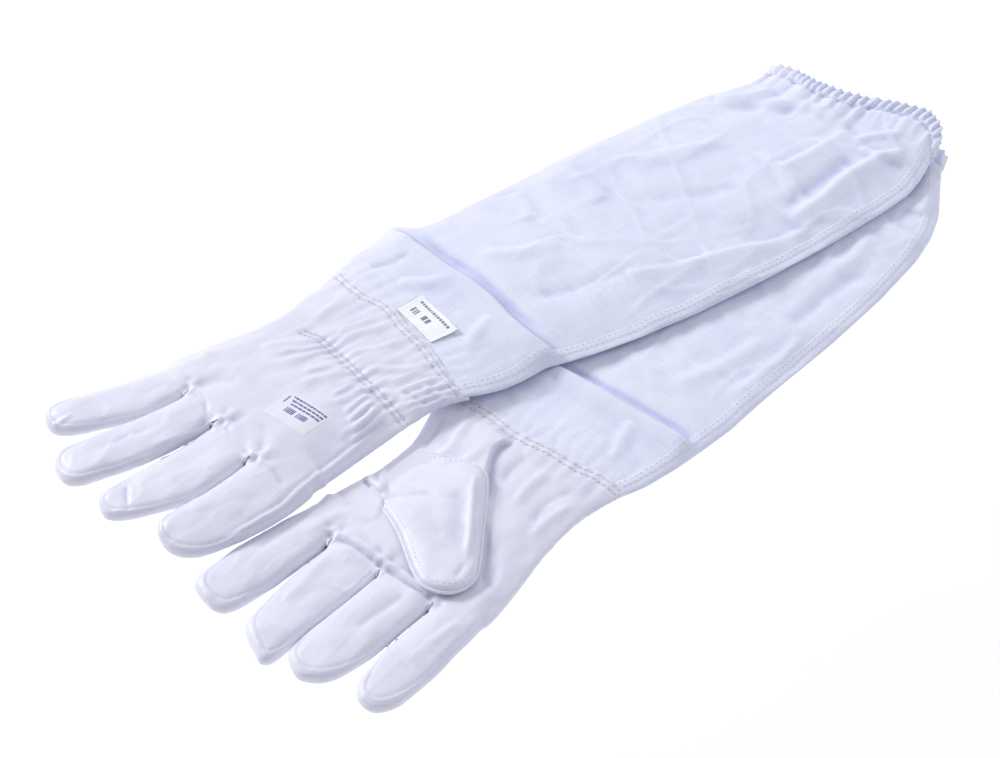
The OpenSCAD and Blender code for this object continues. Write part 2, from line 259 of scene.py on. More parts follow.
def vertex_normals(points, faces):
    faces = np.asarray(faces)
    corners = [points[faces[:, k]] for k in range(faces.shape[1])]
    if len(corners) == 3:
        crossed = np.cross(corners[1] - corners[0], corners[2] - corners[0])
    else:
        crossed = np.cross(corners[2] - corners[0], corners[3] - corners[1])
    normals = np.zeros_like(points)
    for k in range(faces.shape[1]):
        for axis in range(3):
            normals[:, axis] += np.bincount(faces[:, k], crossed[:, axis], len(points))
    return normals / (np.linalg.norm(normals, axis=1, keepdims=True) + 1e-12)


def facing_up(points, faces):
    """faces turned so that they face up, and their normals"""
    normals = vertex_normals(points, faces)
    if normals[:, 2].mean() < 0:
        return faces[:, ::-1], -normals
    return faces, normals


def edges_of(faces):
    sides = faces.shape[1]
    return np.concatenate([faces[:, [i, (i + 1) % sides]] for i in range(sides)])


def smooth_field(field, faces, passes):
    """moves a per-vertex field halfway to its neighbours' average, passes times"""
    field = np.array(field, float)
    size = len(field)
    start, end = edges_of(faces).T
    count = np.bincount(start, minlength=size) + np.bincount(end, minlength=size)
    count = np.maximum(count, 1)

    def blurred(column):
        total = np.bincount(start, column[end], size) + np.bincount(end, column[start], size)
        return 0.5 * column + 0.5 * total / count

    for _ in range(passes):
        field = np.apply_along_axis(blurred, 0, field)
    return field


def crease_depth(height, faces, mask):
    """0 to 1, deeper in the fine and the wide valleys of a surface; it sets how much shade is
    painted there
    """
    fine = smooth_field(height, faces, 3)
    wide = smooth_field(fine, faces, 22)
    return (np.clip((fine - height) / 0.16, 0, 1) * 0.6 * mask
            + np.clip((wide - fine) / 0.55, 0, 1) * 0.75 * mask)


def surface_tree(points, faces):
    return BVHTree.FromPolygons(points.tolist(), faces.tolist())


def surface_height(tree, x, y, up=True):
    """height of a surface met from above, or from below. None beside it"""
    start = Vector((x, y, 60 if up else -30))
    return getattr(tree.ray_cast(start, Vector((0, 0, -1 if up else 1)))[0], "z", None)


class Piece:
    """gathers the surfaces of one object, in a glove's frame, with smooth normals"""

    def __init__(self):
        self.points, self.normals, self.faces, self.creases = [], [], [], []
        self.count = 0

    def add(self, points, faces, normals=None, creases=None):
        self.points.append(points)
        self.normals.append(vertex_normals(points, faces) if normals is None else normals)
        self.creases.append(np.zeros(len(points)) if creases is None else creases)
        self.faces += [[int(i) + self.count for i in face] for face in faces]
        self.count += len(points)

    def shell(self, points, faces, normals, thick, creases=None):
        """closes a surface into a sheet, thick mm deep"""
        used = np.unique(faces)
        points, normals = points[used], normals[used]
        faces = np.searchsorted(used, faces)
        inner = points - normals * thick
        self.add(points, faces, normals, None if creases is None else creases[used])
        self.add(inner, faces[:, ::-1], -normals)
        edges = dict.fromkeys(map(tuple, edges_of(faces).tolist()))
        rim = np.array([(a, b) for a, b in edges if (b, a) not in edges])
        border = np.unique(rim)
        start, end = np.searchsorted(border, rim).T
        size = len(border)
        self.add(np.concatenate([points[border], inner[border]]),
                 np.stack([end, start, start + size, end + size], 1))

    def flat_shell(self, points, faces, thick):
        self.shell(points, *facing_up(points, faces), thick)

    def tube(self, path, radius, sides=6):
        """round bar along a path, with pointed ends"""
        path = np.asarray(path, float)
        count = len(path)
        radius = np.broadcast_to(np.asarray(radius, float), (count,))
        along = np.gradient(path, axis=0)
        along /= np.linalg.norm(along, axis=1, keepdims=True) + 1e-9
        # nearly upright, tilted so that it is never quite parallel to the path
        across = np.cross(along, np.array([0.03, 0.02, 1.0]))
        across /= np.linalg.norm(across, axis=1, keepdims=True) + 1e-9
        upward = np.cross(across, along)
        angle = np.arange(sides) * TURN / sides
        ring = (np.cos(angle)[None, :, None] * across[:, None, :]
                + np.sin(angle)[None, :, None] * upward[:, None, :])
        points = (path[:, None, :] + ring * radius[:, None, None]).reshape(-1, 3)
        first, last = len(points), len(points) + 1
        points = np.concatenate([points, [path[0] - along[0] * radius[0] * 0.6,
                                          path[-1] + along[-1] * radius[-1] * 0.6]])
        normals = np.concatenate([ring.reshape(-1, 3), [-along[0], along[-1]]])
        faces = quads(count, sides, closed=True).tolist()
        end_ring = (count - 1) * sides
        for k in range(sides):
            after = (k + 1) % sides
            faces.append((first, after, k))
            faces.append((last, end_ring + k, end_ring + after))
        corners = points[faces[0]]
        outward = np.cross(corners[1] - corners[0], corners[2] - corners[0])
        if np.dot(outward, normals[faces[0][0]]) < 0:
            faces = [face[::-1] for face in faces]
        self.add(points, faces, normals)

    def stitch(self, tree, line, pitch, length, radius, up=True, lift=0.10):
        """a row of thread stitches lying on a surface, their ends sunk into it"""
        line = resample(line, pitch)
        along = np.gradient(line, axis=0)
        along /= np.linalg.norm(along, axis=1, keepdims=True) + 1e-9
        outward = 1 if up else -1
        for middle, step in zip(line, along):
            path = []
            for share, rise in ((-0.5, -0.35), (-0.3, 0.06), (0.0, 0.16),
                                (0.3, 0.06), (0.5, -0.35)):
                x = middle[0] + step[0] * share * length
                y = middle[1] + step[1] * share * length
                height = surface_height(tree, x, y, up)
                if height is None:
                    break
                path.append((x, y, height + outward * (rise + lift)))
            else:
                self.tube(path, [radius * 0.6, radius, radius, radius, radius * 0.6])

    def make(self, glove, name, surface, replaces=None):
        """builds the object. surface is a material and its slot name; the slot name is not used
        """
        points = np.concatenate(self.points)
        name = f"{glove.side}_{name}"
        mesh = bpy.data.meshes.new(name)
        mesh.from_pydata(glove.world(points).tolist(), [], self.faces)
        mesh.polygons.foreach_set("use_smooth", [True] * len(mesh.polygons))
        mesh.update()
        normals = glove.turn(np.concatenate(self.normals))
        mesh.normals_split_custom_set_from_vertices(normals.tolist())
        # the glove's own coordinates, for the weave and the grain
        place = mesh.attributes.new("place", "FLOAT_VECTOR", "POINT")
        place.data.foreach_set("vector", np.ascontiguousarray(points, dtype=np.float32).ravel())
        # how deep a point lies in a crease, which sets the shade painted into the colour there
        crease = mesh.attributes.new("crease", "FLOAT", "POINT")
        depths = np.ascontiguousarray(np.concatenate(self.creases), dtype=np.float32)
        crease.data.foreach_set("value", depths)
        material, slot = surface
        mesh.materials.append(material)
        ob = bpy.data.objects.new(name, mesh)
        bpy.context.scene.collection.objects.link(ob)
        if replaces:
            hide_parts(f"{glove.side}_{replaces}")
        return ob


# ---------------------------------------------------------------------------
# materials


def feed(tree, socket, value):
    """links a socket to another, or sets its value"""
    if isinstance(value, bpy.types.NodeSocket):
        tree.links.new(value, socket)
    else:
        socket.default_value = value


def add_node(tree, kind, inputs, **settings):
    node = tree.nodes.new("ShaderNode" + kind)
    for key, value in settings.items():
        setattr(node, key, value)
    for key, value in inputs.items():
        feed(tree, node.inputs[key], value)
    return node


def add_ramp(tree, factor, stops):
    """stops are (position, colour)"""
    node = add_node(tree, "ValToRGB", {0: factor})
    elements = node.color_ramp.elements
    while len(elements) < len(stops):
        elements.new(0.5)
    for element, (position, colour) in zip(elements, stops):
        element.position = position
        element.color = (*colour, 1)
    return node.outputs[0]


class Shader:
    """a principled material whose textures run on the "place" attribute"""

    def __init__(self, name):
        self.material = bpy.data.materials.new(name)
        self.material.use_nodes = True
        self.tree = self.material.node_tree
        self.tree.nodes.clear()
        self.bsdf = self.node("BsdfPrincipled", {})
        self.node("OutputMaterial", {0: self.bsdf.outputs[0]})
        self.place = self.node("Attribute", {}, attribute_name="place").outputs["Vector"]

    def node(self, kind, inputs, **settings):
        return add_node(self.tree, kind, inputs, **settings)

    def set(self, values):
        for key, value in values.items():
            feed(self.tree, self.bsdf.inputs[key], value)

    def noise(self, scale, detail=3.0, rough=0.55, vector=None):
        return self.node("TexNoise", {"Scale": scale, "Detail": detail, "Roughness": rough,
                                      "Vector": vector or self.place}).outputs["Fac"]

    def stretched_noise(self, scale):
        mapping = self.node("Mapping", {"Scale": scale, "Vector": self.place})
        return self.noise(scale=1.0, rough=0.5, vector=mapping.outputs[0])

    def bands(self, direction, **inputs):
        return self.node("TexWave", {**inputs, "Vector": self.place}, wave_type="BANDS",
                         bands_direction=direction).outputs["Fac"]

    def math(self, operation, first, second=None):
        inputs = {0: first} if second is None else {0: first, 1: second}
        return self.node("Math", inputs, operation=operation).outputs[0]

    def mixed(self, first, first_share, second, second_share):
        return self.math("ADD", self.math("MULTIPLY", first, first_share),
                         self.math("MULTIPLY", second, second_share))

    def vector_math(self, operation, first, second):
        key = "Scale" if operation == "SCALE" else 1
        return self.node("VectorMath", {0: first, key: second}, operation=operation).outputs[0]

    def ramp(self, factor, *stops):
        return add_ramp(self.tree, factor, stops)

    def remap(self, value, to, source=(0.0, 1.0)):
        return self.node("MapRange", {
            "From Min": source[0], "From Max": source[1],
            "To Min": to[0], "To Max": to[1], "Value": value}).outputs["Result"]

    def painted_crease_shade(self, colour, shade_share):
        """colour with shade painted into the creases: less the share shade_share where the
        crease depth is 1
        """
        depth = self.node("Attribute", {}, attribute_name="crease").outputs["Fac"]
        lost = self.vector_math("SCALE", shade_share, depth)
        kept = self.vector_math("SUBTRACT", (1, 1, 1), lost)
        return self.vector_math("MULTIPLY", colour, kept)

    def bump(self, height, distance, strength, **normal):
        return self.node("Bump", {"Strength": strength, "Distance": distance,
                                  "Height": height, **normal}).outputs["Normal"]


def leather_material():
    m = Shader("goatskin")
    colour = m.ramp(m.noise(scale=0.035), (0.3, (0.705, 0.712, 0.83)),
                    (0.55, (0.745, 0.75, 0.855)), (0.8, (0.775, 0.775, 0.87)))
    patches = m.noise(scale=0.22, detail=4)
    # cells for the pores, fine grain, and small wrinkles
    cells = m.node("TexVoronoi", {"Scale": 1.15, "Vector": m.place}, feature="DISTANCE_TO_EDGE")
    pores = m.remap(cells.outputs["Distance"], to=(0.0, 1.0), source=(0.0, 0.25))
    grain = m.mixed(pores, 0.35, m.noise(scale=2.6, detail=2), 0.35)
    wrinkles = m.math("MULTIPLY", m.noise(scale=0.30, detail=5, rough=0.6), 1.6)
    m.set({
        # painted shade: bluish darkening of the leather where the crease depth is greatest
        "Base Color": m.painted_crease_shade(colour, shade_share=(0.22, 0.212, 0.135)),
        "Roughness": m.remap(patches, to=(0.33, 0.52), source=(0.25, 0.75)),
        "Normal": m.bump(m.math("ADD", grain, wrinkles), distance=0.00009, strength=0.8),
        "Sheen Weight": 0.08, "Sheen Roughness": 0.5, "Specular IOR Level": 0.42,
        "Subsurface Weight": 0.06, "Subsurface Radius": (0.004, 0.003, 0.003),
        "Subsurface Scale": 0.5})
    return m.material


def canvas_material():
    m = Shader("canvas")
    # plain weave: crossed threads 0.62 mm apart, warp and weft over and under in turn
    thread_gap = 0.62
    axes = m.node("SeparateXYZ", {0: m.place})
    wobble = m.noise(scale=0.09, detail=2)
    waves = [m.math("SINE", m.mixed(axes.outputs[k], math.pi / thread_gap, wobble, 9.0))
             for k in (0, 1)]
    weave = m.math("MULTIPLY", *waves)
    # thick and thin threads both ways
    thread = m.mixed(m.stretched_noise((0.05, 0.9, 0.3)), 0.5,
                     m.stretched_noise((0.9, 0.05, 0.3)), 0.5)
    base = m.ramp(m.noise(scale=0.028), (0.25, (0.69, 0.712, 0.865)),
                  (0.75, (0.755, 0.772, 0.89)))
    shade = m.math("ADD", m.remap(thread, to=(0.945, 1.045), source=(0.3, 0.7)),
                   m.math("MULTIPLY", weave, 0.025))
    colour = m.vector_math("SCALE", base, shade)
    threads = m.bump(m.mixed(weave, 0.5, thread, 0.9), distance=0.00009, strength=0.7)
    m.set({
        # painted shade: bluish darkening of the canvas where the crease depth is greatest
        "Base Color": m.painted_crease_shade(colour, shade_share=(0.25, 0.225, 0.095)),
        "Normal": m.bump(m.noise(scale=0.10, detail=4), distance=0.0012, strength=0.30,
                         Normal=threads),
        "Roughness": 0.92, "Sheen Weight": 0.25, "Sheen Roughness": 0.55,
        "Specular IOR Level": 0.22})
    return m.material


def thread_material():
    m = Shader("thread")
    twist = m.bands("DIAGONAL", Scale=1.6, Distortion=1.0)
    m.set({
        "Base Color": m.ramp(twist, (0.2, (0.72, 0.725, 0.80)), (0.8, (0.84, 0.84, 0.89))),
        "Normal": m.bump(twist, distance=0.00008, strength=0.8),
        "Roughness": 0.7, "Sheen Weight": 0.2})
    return m.material


def elastic_material():
    m = Shader("elastic")
    ribs = m.bands("X", Scale=1.0, Distortion=0.6)
    fuzz = m.noise(scale=1.8)
    height = m.math("ADD", ribs, m.math("MULTIPLY", fuzz, 0.4))
    m.set({
        "Base Color": m.ramp(m.mixed(ribs, 0.6, fuzz, 0.5),
                             (0.2, (0.60, 0.60, 0.65)), (0.8, (0.78, 0.78, 0.82))),
        "Normal": m.bump(height, distance=0.0003, strength=0.8),
        "Roughness": 0.8, "Sheen Weight": 0.2})
    return m.material


def label_material():
    m = Shader("label")
    ribs = m.bands("Y", Scale=1.5)
    mottle = m.noise(scale=0.5)
    height = m.math("ADD", m.math("MULTIPLY", ribs, 0.4), mottle)
    m.set({
        "Base Color": m.ramp(mottle, (0.3, (0.86, 0.875, 0.92)), (0.7, (0.92, 0.925, 0.95))),
        "Normal": m.bump(height, distance=0.00006, strength=0.7),
        "Roughness": m.remap(mottle, to=(0.42, 0.6)), "Sheen Weight": 0.15})
    return m.material


def print_material():
    m = Shader("print_film")
    mottle = m.noise(scale=0.25)
    m.set({
        "Base Color": m.ramp(mottle, (0.3, (0.755, 0.762, 0.865)), (0.7, (0.79, 0.795, 0.88))),
        "Roughness": m.remap(mottle, to=(0.28, 0.4)),
        "Normal": m.bump(m.noise(scale=1.6, detail=2), distance=0.00004, strength=0.6)})
    return m.material


def ink_material(name, dark, light):
    m = Shader(name)
    wear = m.noise(scale=1.4, detail=4, rough=0.7)
    m.set({"Base Color": m.ramp(wear, (0.35, dark), (0.65, light)),
           "Roughness": m.remap(wear, to=(0.4, 0.65))})
    return m.material


# material and slot name
LEATHER = (leather_material(), "leather")
CANVAS = (canvas_material(), "canvas")
THREAD = (thread_material(), "thread")
ELASTIC = (elastic_material(), "elastic")
LABEL = (label_material(), "label")
PRINT = (print_material(), "print")
PRINT_INK = (ink_material("ink", dark=(0.10, 0.115, 0.27), light=(0.19, 0.21, 0.40)), "print")
LABEL_INK = (ink_material("label_ink", dark=(0.16, 0.165, 0.21), light=(0.30, 0.31, 0.37)),
             "label")


# ---------------------------------------------------------------------------
# outline of the leather hands

FINGERS = ("index", "middle", "ring", "little")
# hinge y and splay in degrees, by finger
HINGES = {
    "right": [(43.2, 4.5), (12.8, -1.2), (-19.2, -0.2), (-51.6, 0.0)],
    "left": [(37.0, 15.0), (8.2, 8.5), (-22.2, 5.2), (-55.2, 4.8)],
}
# (x, y) sewn edges of each finger, thumb side then little finger side, palm to tip
FINGER_EDGES = {
    "left": [
        ([(-98, 44.5), (-112, 47), (-124, 49.5), (-145, 54.5), (-159, 59.5), (-171, 64),
          (-180, 65), (-185.5, 63.5), (-188, 59), (-188.4, 53.5)],
         [(-98, 25), (-112, 25.5), (-124, 24.2), (-138, 24.4), (-150, 26.0), (-157, 29.5),
          (-165, 33.5), (-175, 38.5), (-182, 43.2), (-187, 48.5), (-188.4, 53.5)]),
        ([(-98, 24), (-112, 24.5), (-124, 23.5), (-138, 23.8), (-150, 25.4), (-161, 28),
          (-171, 29.8), (-181, 32), (-190, 33.5), (-196.5, 31.5), (-200.5, 26), (-201.3, 19)],
         [(-98, -5), (-112, -5), (-124, -3.8), (-134, -4), (-148, -4), (-162, -2.5),
          (-175, 0.5), (-186, 4.5), (-195, 8), (-200, 13), (-201.3, 19)]),
        ([(-98, -6), (-112, -6), (-124, -4.4), (-134, -4.6), (-148, -4.8), (-162, -4.5),
          (-175, -4.3), (-185, -4.8), (-191, -5), (-195, -9.5), (-195.8, -15)],
         [(-98, -36), (-112, -36), (-122, -36), (-131, -37.4), (-143, -39), (-154, -39.3),
          (-164, -37.5), (-176, -32), (-184, -28), (-190.5, -23.5), (-194.8, -19),
          (-195.8, -15)]),
        ([(-98, -37), (-112, -37), (-122, -36.6), (-131, -38), (-143, -39.6), (-154, -40),
          (-164, -39.5), (-173, -39.3), (-178.5, -41), (-182, -46), (-182.4, -52)],
         [(-98, -69.5), (-112, -73.3), (-124, -75), (-135, -75.7), (-150, -74.8),
          (-164, -71.8), (-173, -68), (-179, -62), (-181.8, -57), (-182.4, -52)]),
    ],
    "right": [
        ([(-98, 49), (-110, 51.5), (-124, 55), (-139, 58.5), (-156, 62), (-168, 63),
          (-178, 61.5), (-182.5, 58), (-185.2, 51), (-186, 44.5)],
         [(-98, 27.5), (-112, 27), (-124, 27.4), (-134, 28.3), (-151, 29.8), (-160, 30.5),
          (-170, 33), (-178, 35.5), (-184, 38.5), (-186, 44.5)]),
        ([(-98, 26.5), (-112, 26.4), (-124, 26.8), (-134, 27.7), (-151, 29.0), (-165, 28.5),
          (-177, 27.0), (-184, 24), (-188.8, 18), (-192.5, 11), (-195.3, 6)],
         [(-98, -6), (-112, -6), (-124, -5.6), (-143, -4.2), (-159, -2.8), (-172, -1.6),
          (-184, -0.8), (-190, -0.2), (-194.0, 1.5), (-195.3, 6)]),
        ([(-98, -7), (-112, -7), (-123, -6.2), (-143, -4.6), (-159, -3.0), (-170, -1.8),
          (-180, -2.2), (-185.5, -4), (-189.3, -9), (-191.5, -13.5), (-191.6, -18)],
         [(-98, -38.5), (-112, -38.8), (-125, -38.2), (-138, -37.6), (-152, -36.7),
          (-164, -36), (-173, -34), (-181, -30.5), (-187, -26), (-191.6, -18)]),
        ([(-98, -39.5), (-112, -39.6), (-125, -38.8), (-138, -38.2), (-152, -37.4),
          (-163, -38.2), (-171, -40), (-180, -43), (-184, -47), (-184.6, -52)],
         [(-98, -63), (-112, -64.8), (-124, -65.4), (-135, -65.2), (-149, -66),
          (-163, -65.3), (-173, -63.3), (-180.5, -59.5), (-184, -56), (-184.6, -52)]),
    ],
}
# how far each fingertip is widened on its two edges, and all are lengthened
TIP_WIDER = {"left": [(1.3, 0.5), (1.1, 0.5), (0.8, 0.5), (0.8, 0.8)],
             "right": [(2.1, 0.8), (1.7, 0.0), (0.0, 1.2), (1.2, 1.4)]}
TIP_LONGER = {"left": 0.6, "right": 1.9}
FINGER_LIFT = {"left": [-0.5, 1.0, -0.9, 0.3], "right": [0.6, -0.6, 1.1, -0.2]}
# fingers are moved apart by the gap while they are remeshed, so that they don't fuse
FINGER_GAP = 3.6
FINGER_SHIFT = np.array([5.4, 1.8, -1.8, -5.4])

# y of the hand's edge on the thumb side, by x
HAND_THUMB_SIDE = {
    "right": curve([(-126, 53), (-118, 53.5), (-110, 51.5), (-100, 49.5), (-88, 46.5),
                    (-70, 42.5), (-55, 41.5), (-43, 41.3), (-36, 43), (-25, 46.5),
                    (-16, 49.5), (-6, 54.5), (0, 57), (8, 59)]),
    "left": curve([(-126, 53), (-118, 52.5), (-106, 50.0), (-85, 48.0), (-68, 45.5),
                   (-55, 45.5), (-43, 47.5), (-37, 50), (-20, 53.5), (-8, 58.5),
                   (0, 61.5), (8, 63)])}
# and on the little finger side
HAND_LITTLE_SIDE = {
    "right": curve([(-126, -66.8), (-107, -66.8), (-85, -64.3), (-62, -60.9), (-43, -59.8),
                    (-30, -60.3), (-13, -64.0), (-3, -67.2), (0, -68.5), (8, -69.5)]),
    "left": curve([(-126, -73), (-117, -72.5), (-90, -69), (-62, -65), (-45, -62.5),
                   (-33, -61.5), (-25, -60.5), (-12, -62.5), (0, -66.5), (8, -68)])}
# x of the leather's cut edge, by y
LEATHER_EDGE = {
    "right": curve([(-70, -1.5), (-48, -0.5), (-41, -3), (-22, -2.4), (-9, -4.2),
                    (6, -3.6), (17, -0.8), (33, 0), (58, 1)]),
    "left": curve([(-72, -3), (-61, -4.5), (-50, -5), (-38, -4), (-24, -1.8), (-5, -2.4),
                   (10, 0), (20, -1), (28, -4.5), (38, -5), (52, -4.5), (60, -3)])}


def slit(edges, k):
    """y of the line where finger k meets the next one, by x"""
    near = np.array(edges[k][1][:-2])[::-1]
    far = np.array(edges[k + 1][0][:-2])[::-1]
    xs = np.arange(-170, -95, 3.0)
    middle = (np.interp(xs, *near.T) + np.interp(xs, *far.T)) / 2
    return curve(list(zip(xs, middle)), 2.0)


SLITS = {side: [slit(edges, k) for k in range(3)] for side, edges in FINGER_EDGES.items()}


def apart(x):
    return ease(-84, -112, x)


def shift_at(side, x, y):
    """how far a point of the moved-apart hand has been moved sideways"""
    share = apart(x)
    shift = np.full(np.shape(x), FINGER_SHIFT[0])
    for k in range(3):
        middle = SLITS[side][k](x) + (FINGER_SHIFT[k] + FINGER_SHIFT[k + 1]) / 2 * share
        half = 1.65 + 9.0 * ease(-121.5, -106, x)
        shift = shift - FINGER_GAP * np.clip((middle + half - y) / (2 * half), 0, 1)
    return shift * share


def finger_at(side, x, y):
    """number of the finger, from the index, that a point belongs to"""
    return sum((y < SLITS[side][k](x)).astype(int) for k in range(3))


def hand_middle(glove, x, y):
    """middle height of the hand and cuff"""
    x, y = np.asarray(x, float), np.asarray(y, float)
    if not glove.left:
        return np.interp(x, [-130, -60, -43, 0, 20], [6.9, 6.8, 6.2, 6.0, 5.9]) + 0 * y
    middle = np.interp(x, [-130, -100, -60, -43, -20, 0, 20],
                       [19.0, 19.6, 19.6, 19.3, 19.0, 18.7, 18.4])
    # the little finger side hangs down, and the knuckles settle
    middle = middle - 3.4 * ease(-38, -68, y) * ease(-20, -60, x)
    middle = middle - 2.2 * ease(-34, -66, y) * ease(-60, -20, x)
    return middle - 0.6 * ease(28, 52, y) * ease(-70, -115, x) - 0.8 * ease(-95, -126, x)


def finger_middle(glove, i, x, y):
    """middle height of finger i, drooping from just before the hinge"""
    out = np.maximum(HINGE_X - x, -14) + 14
    droop = (0.0008 * out ** 2 + 0.02 * out) if glove.left else 0.004 * out
    lift = np.asarray(FINGER_LIFT[glove.side])[i] * ease(-112, -140, x)
    return hand_middle(glove, np.maximum(x, HINGE_X), y) - droop + lift


def half_thickness(x):
    return np.interp(x, [-130, -122, -112, -100, -62, -43, -28, -8, 8],
                     [2.2, 4.8, 6.1, 6.4, 6.3, 5.0, 5.7, 5.9, 5.8])


# ---------------------------------------------------------------------------
# creases of the leather, on its upper side: (x, y) points, width, height.
# A negative height is a groove

HAND_RIDGES = {
    "left": [
        # bulges that fan out from the wrist towards the knuckles
        ([(-46, -29), (-56, -33), (-70, -32)], 2.2, 0.9),
        ([(-47, -14), (-60, -13), (-74, -8)], 2.4, 0.8),
        ([(-47, 3), (-60, 7), (-78, 12)], 2.6, 0.8),
        ([(-48, 15), (-60, 22), (-76, 28)], 2.6, 0.9),
        ([(-46, -44), (-58, -50), (-80, -52)], 2.2, 0.9),
        # and over the cuff
        ([(-46, -29), (-36, -46)], 1.8, 1.1),
        ([(-41, -20), (-28, -27), (-14, -38)], 2.2, 0.9),
        ([(-41, 8), (-26, 6), (-10, 0)], 2.4, 0.8),
        ([(-41, -4), (-27, -9), (-12, -14)], 1.9, 0.7),
        ([(-22, -45), (-18, -57), (-13, -66)], 1.7, 0.9),
        ([(-33, -40), (-30, -50), (-25, -60)], 1.5, -0.8),
        ([(-40, 30), (-25, 33), (-9, 38)], 3.0, 0.7),
        # middle finger against the ring finger
        ([(-118, 22), (-119, 12), (-124, 2), (-129, -3), (-141, -5), (-156, -6), (-174, -6)],
         1.6, -0.7),
        ([(-112, -7), (-118, -7), (-143, -2), (-160, 2)], 2.4, 0.8),
        # fingertips
        ([(-165, 22), (-178, 12), (-186, 11)], 2.4, 0.4),
        ([(-150, 12), (-163, 17), (-180, 17)], 2.2, -0.5),
        ([(-179, -10), (-184, -18), (-187, -26)], 1.3, -0.9),
        ([(-190, 52), (-183, 50), (-176, 50)], 1.2, 0.9),
        ([(-186, 45), (-176, 40), (-160, 33)], 1.3, -0.5),
        ([(-121, -43), (-117, -50), (-118, -63)], 1.8, -0.8),
        # little finger's seam, on towards the cuff as two lines
        ([(-171, -73), (-150, -71.5), (-127, -72), (-115, -69), (-82, -63), (-60, -58),
          (-48, -56)], 0.9, 0.75),
        ([(-171, -70.5), (-150, -69), (-127, -69.2), (-115, -66), (-82, -60), (-60, -55)],
         0.8, -0.5),
        # knuckles
        ([(-104, -20), (-112, -34), (-121, -40)], 3.5, -0.6),
        ([(-96, 12), (-108, 20), (-118, 24)], 3.5, -0.6),
        ([(-98, 26), (-112, 30), (-128, 36)], 5.0, 0.6),
        ([(-62, 34), (-80, 36), (-104, 41)], 3.0, 0.6),
    ],
    "right": [
        # seam across the roots of the middle and ring fingers
        ([(-121, 29), (-118.5, 17), (-119.5, -4), (-120.5, -25), (-119, -42)], 0.95, -1.25),
        ([(-117.5, 29), (-115, 17), (-116, -4), (-117, -25), (-115.5, -42)], 1.3, 1.0),
        # seam from the thumb's root to the index finger
        ([(-79, 45), (-82, 36), (-85, 24), (-90, 14)], 0.95, -1.4),
        ([(-76, 45), (-79, 36), (-81, 24)], 1.6, 1.2),
        ([(-66, 41), (-74, 33), (-84, 28)], 2.0, 0.8),
        # palm and cuff
        ([(-100, -51.5), (-90, -46), (-78, -37.5), (-66, -29.5)], 1.6, -0.8),
        ([(-55, 10), (-42, 8), (-28, 6), (-16, 8)], 3.2, 0.8),
        ([(-50, 22), (-36, 21), (-22, 24), (-9, 28)], 3.0, 0.9),
        ([(-45, 33), (-30, 35), (-16, 40)], 2.4, -0.7),
        ([(-40, -16), (-28, -13), (-14, -14)], 2.6, -0.7),
        ([(-46, -30), (-32, -27), (-15, -29)], 3.0, 0.8),
        ([(-52, -44), (-36, -41), (-18, -46)], 2.4, -0.6),
        ([(-60, -50), (-44, -48), (-26, -52)], 2.6, 0.8),
        ([(-72, -36), (-88, -50), (-104, -56)], 3.2, -0.6),
        ([(-80, -52), (-96, -56), (-116, -56)], 3.2, 0.6),
        # along the fingers
        ([(-122, -7), (-130, -5), (-146, -1)], 2.6, 0.8),
        ([(-128, 22), (-146, 20), (-168, 18)], 3.0, 0.6),
        ([(-124, -26), (-140, -24), (-160, -20)], 2.6, -0.6),
        ([(-120, -58), (-138, -54), (-160, -52)], 2.8, 0.7),
        ([(-112, 46), (-130, 48), (-152, 52)], 2.8, -0.6),
        ([(-98, 30), (-112, 36), (-132, 40)], 3.4, 0.8),
    ],
}
HAND_FOLDS = {
    "left": [
        # over the cuff
        ([(-38, -42), (-26, -43), (-14, -46), (-6, -49)], 1.1, 1.3),
        ([(-40, -47), (-28, -48.5), (-16, -52), (-5, -54)], 1.2, 1.5),
        ([(-40, -52), (-28, -53.5), (-16, -56.5), (-5, -59)], 1.2, 1.5),
        ([(-42, -56.5), (-30, -57), (-18, -60), (-6, -63)], 1.1, 1.2),
        ([(-36, -34), (-24, -36), (-12, -40)], 1.3, 0.9),
        ([(-36, 14), (-26, 13), (-14, 10)], 1.4, 0.9),
        ([(-10, -47), (-8, -58), (-6, -68)], 1.5, 1.0),
        # from the wrist towards the knuckles
        ([(-47, -36), (-56, -38), (-68, -42)], 1.0, 1.5),
        ([(-47, -41), (-57, -44), (-70, -48)], 1.1, 1.8),
        ([(-48, -46), (-58, -50), (-72, -54)], 1.1, 1.8),
        ([(-48, -51), (-60, -55), (-76, -58)], 1.0, 1.5),
        ([(-47, -24), (-57, -26), (-66, -27)], 1.2, 1.2),
        ([(-47, -8), (-56, -7), (-68, -3)], 1.4, 1.0),
        ([(-47, 9), (-56, 12), (-70, 18)], 1.4, 1.1),
    ],
    "right": [([(-81, 26), (-90, 22), (-101, 17)], 1.6, 0.9)],
}
CREASE_STRENGTH = {"left": 0.95, "right": 1.2}
# the right palm's long ridge from the thumb's welt over the wrist to the cuff
PALM_RIDGE = [(-10, -1.5), (-14.4, 0.2), (-21, 2.6), (-30.5, -0.8), (-38, -4.8), (-45, -9.6),
              (-54, -16)]
# (x, y) where two fingers part
CROTCHES = {"left": [(-121.5, 25.5), (-120.5, -7.5), (-120.5, -39.5)],
            "right": [(-120, 28.5), (-119.5, -3.5), (-119.5, -36)]}
# wrist ruching: wavelength, height, reach along the hand, phase
RUCHES = ((5.7, 0.85, 7.0, 0.0), (10.5, 0.55, 12.0, 1.7), (17.0, 0.35, 18.0, 0.6))


def wrist_line(glove, y):
    """x of the wrist's stitching. On the left it bends towards the fingers by the thumb"""
    if glove.left:
        return -44.2 - 0.02 * y - 5.0 * ease(14, 30, y)
    return WRIST_X + 0 * y


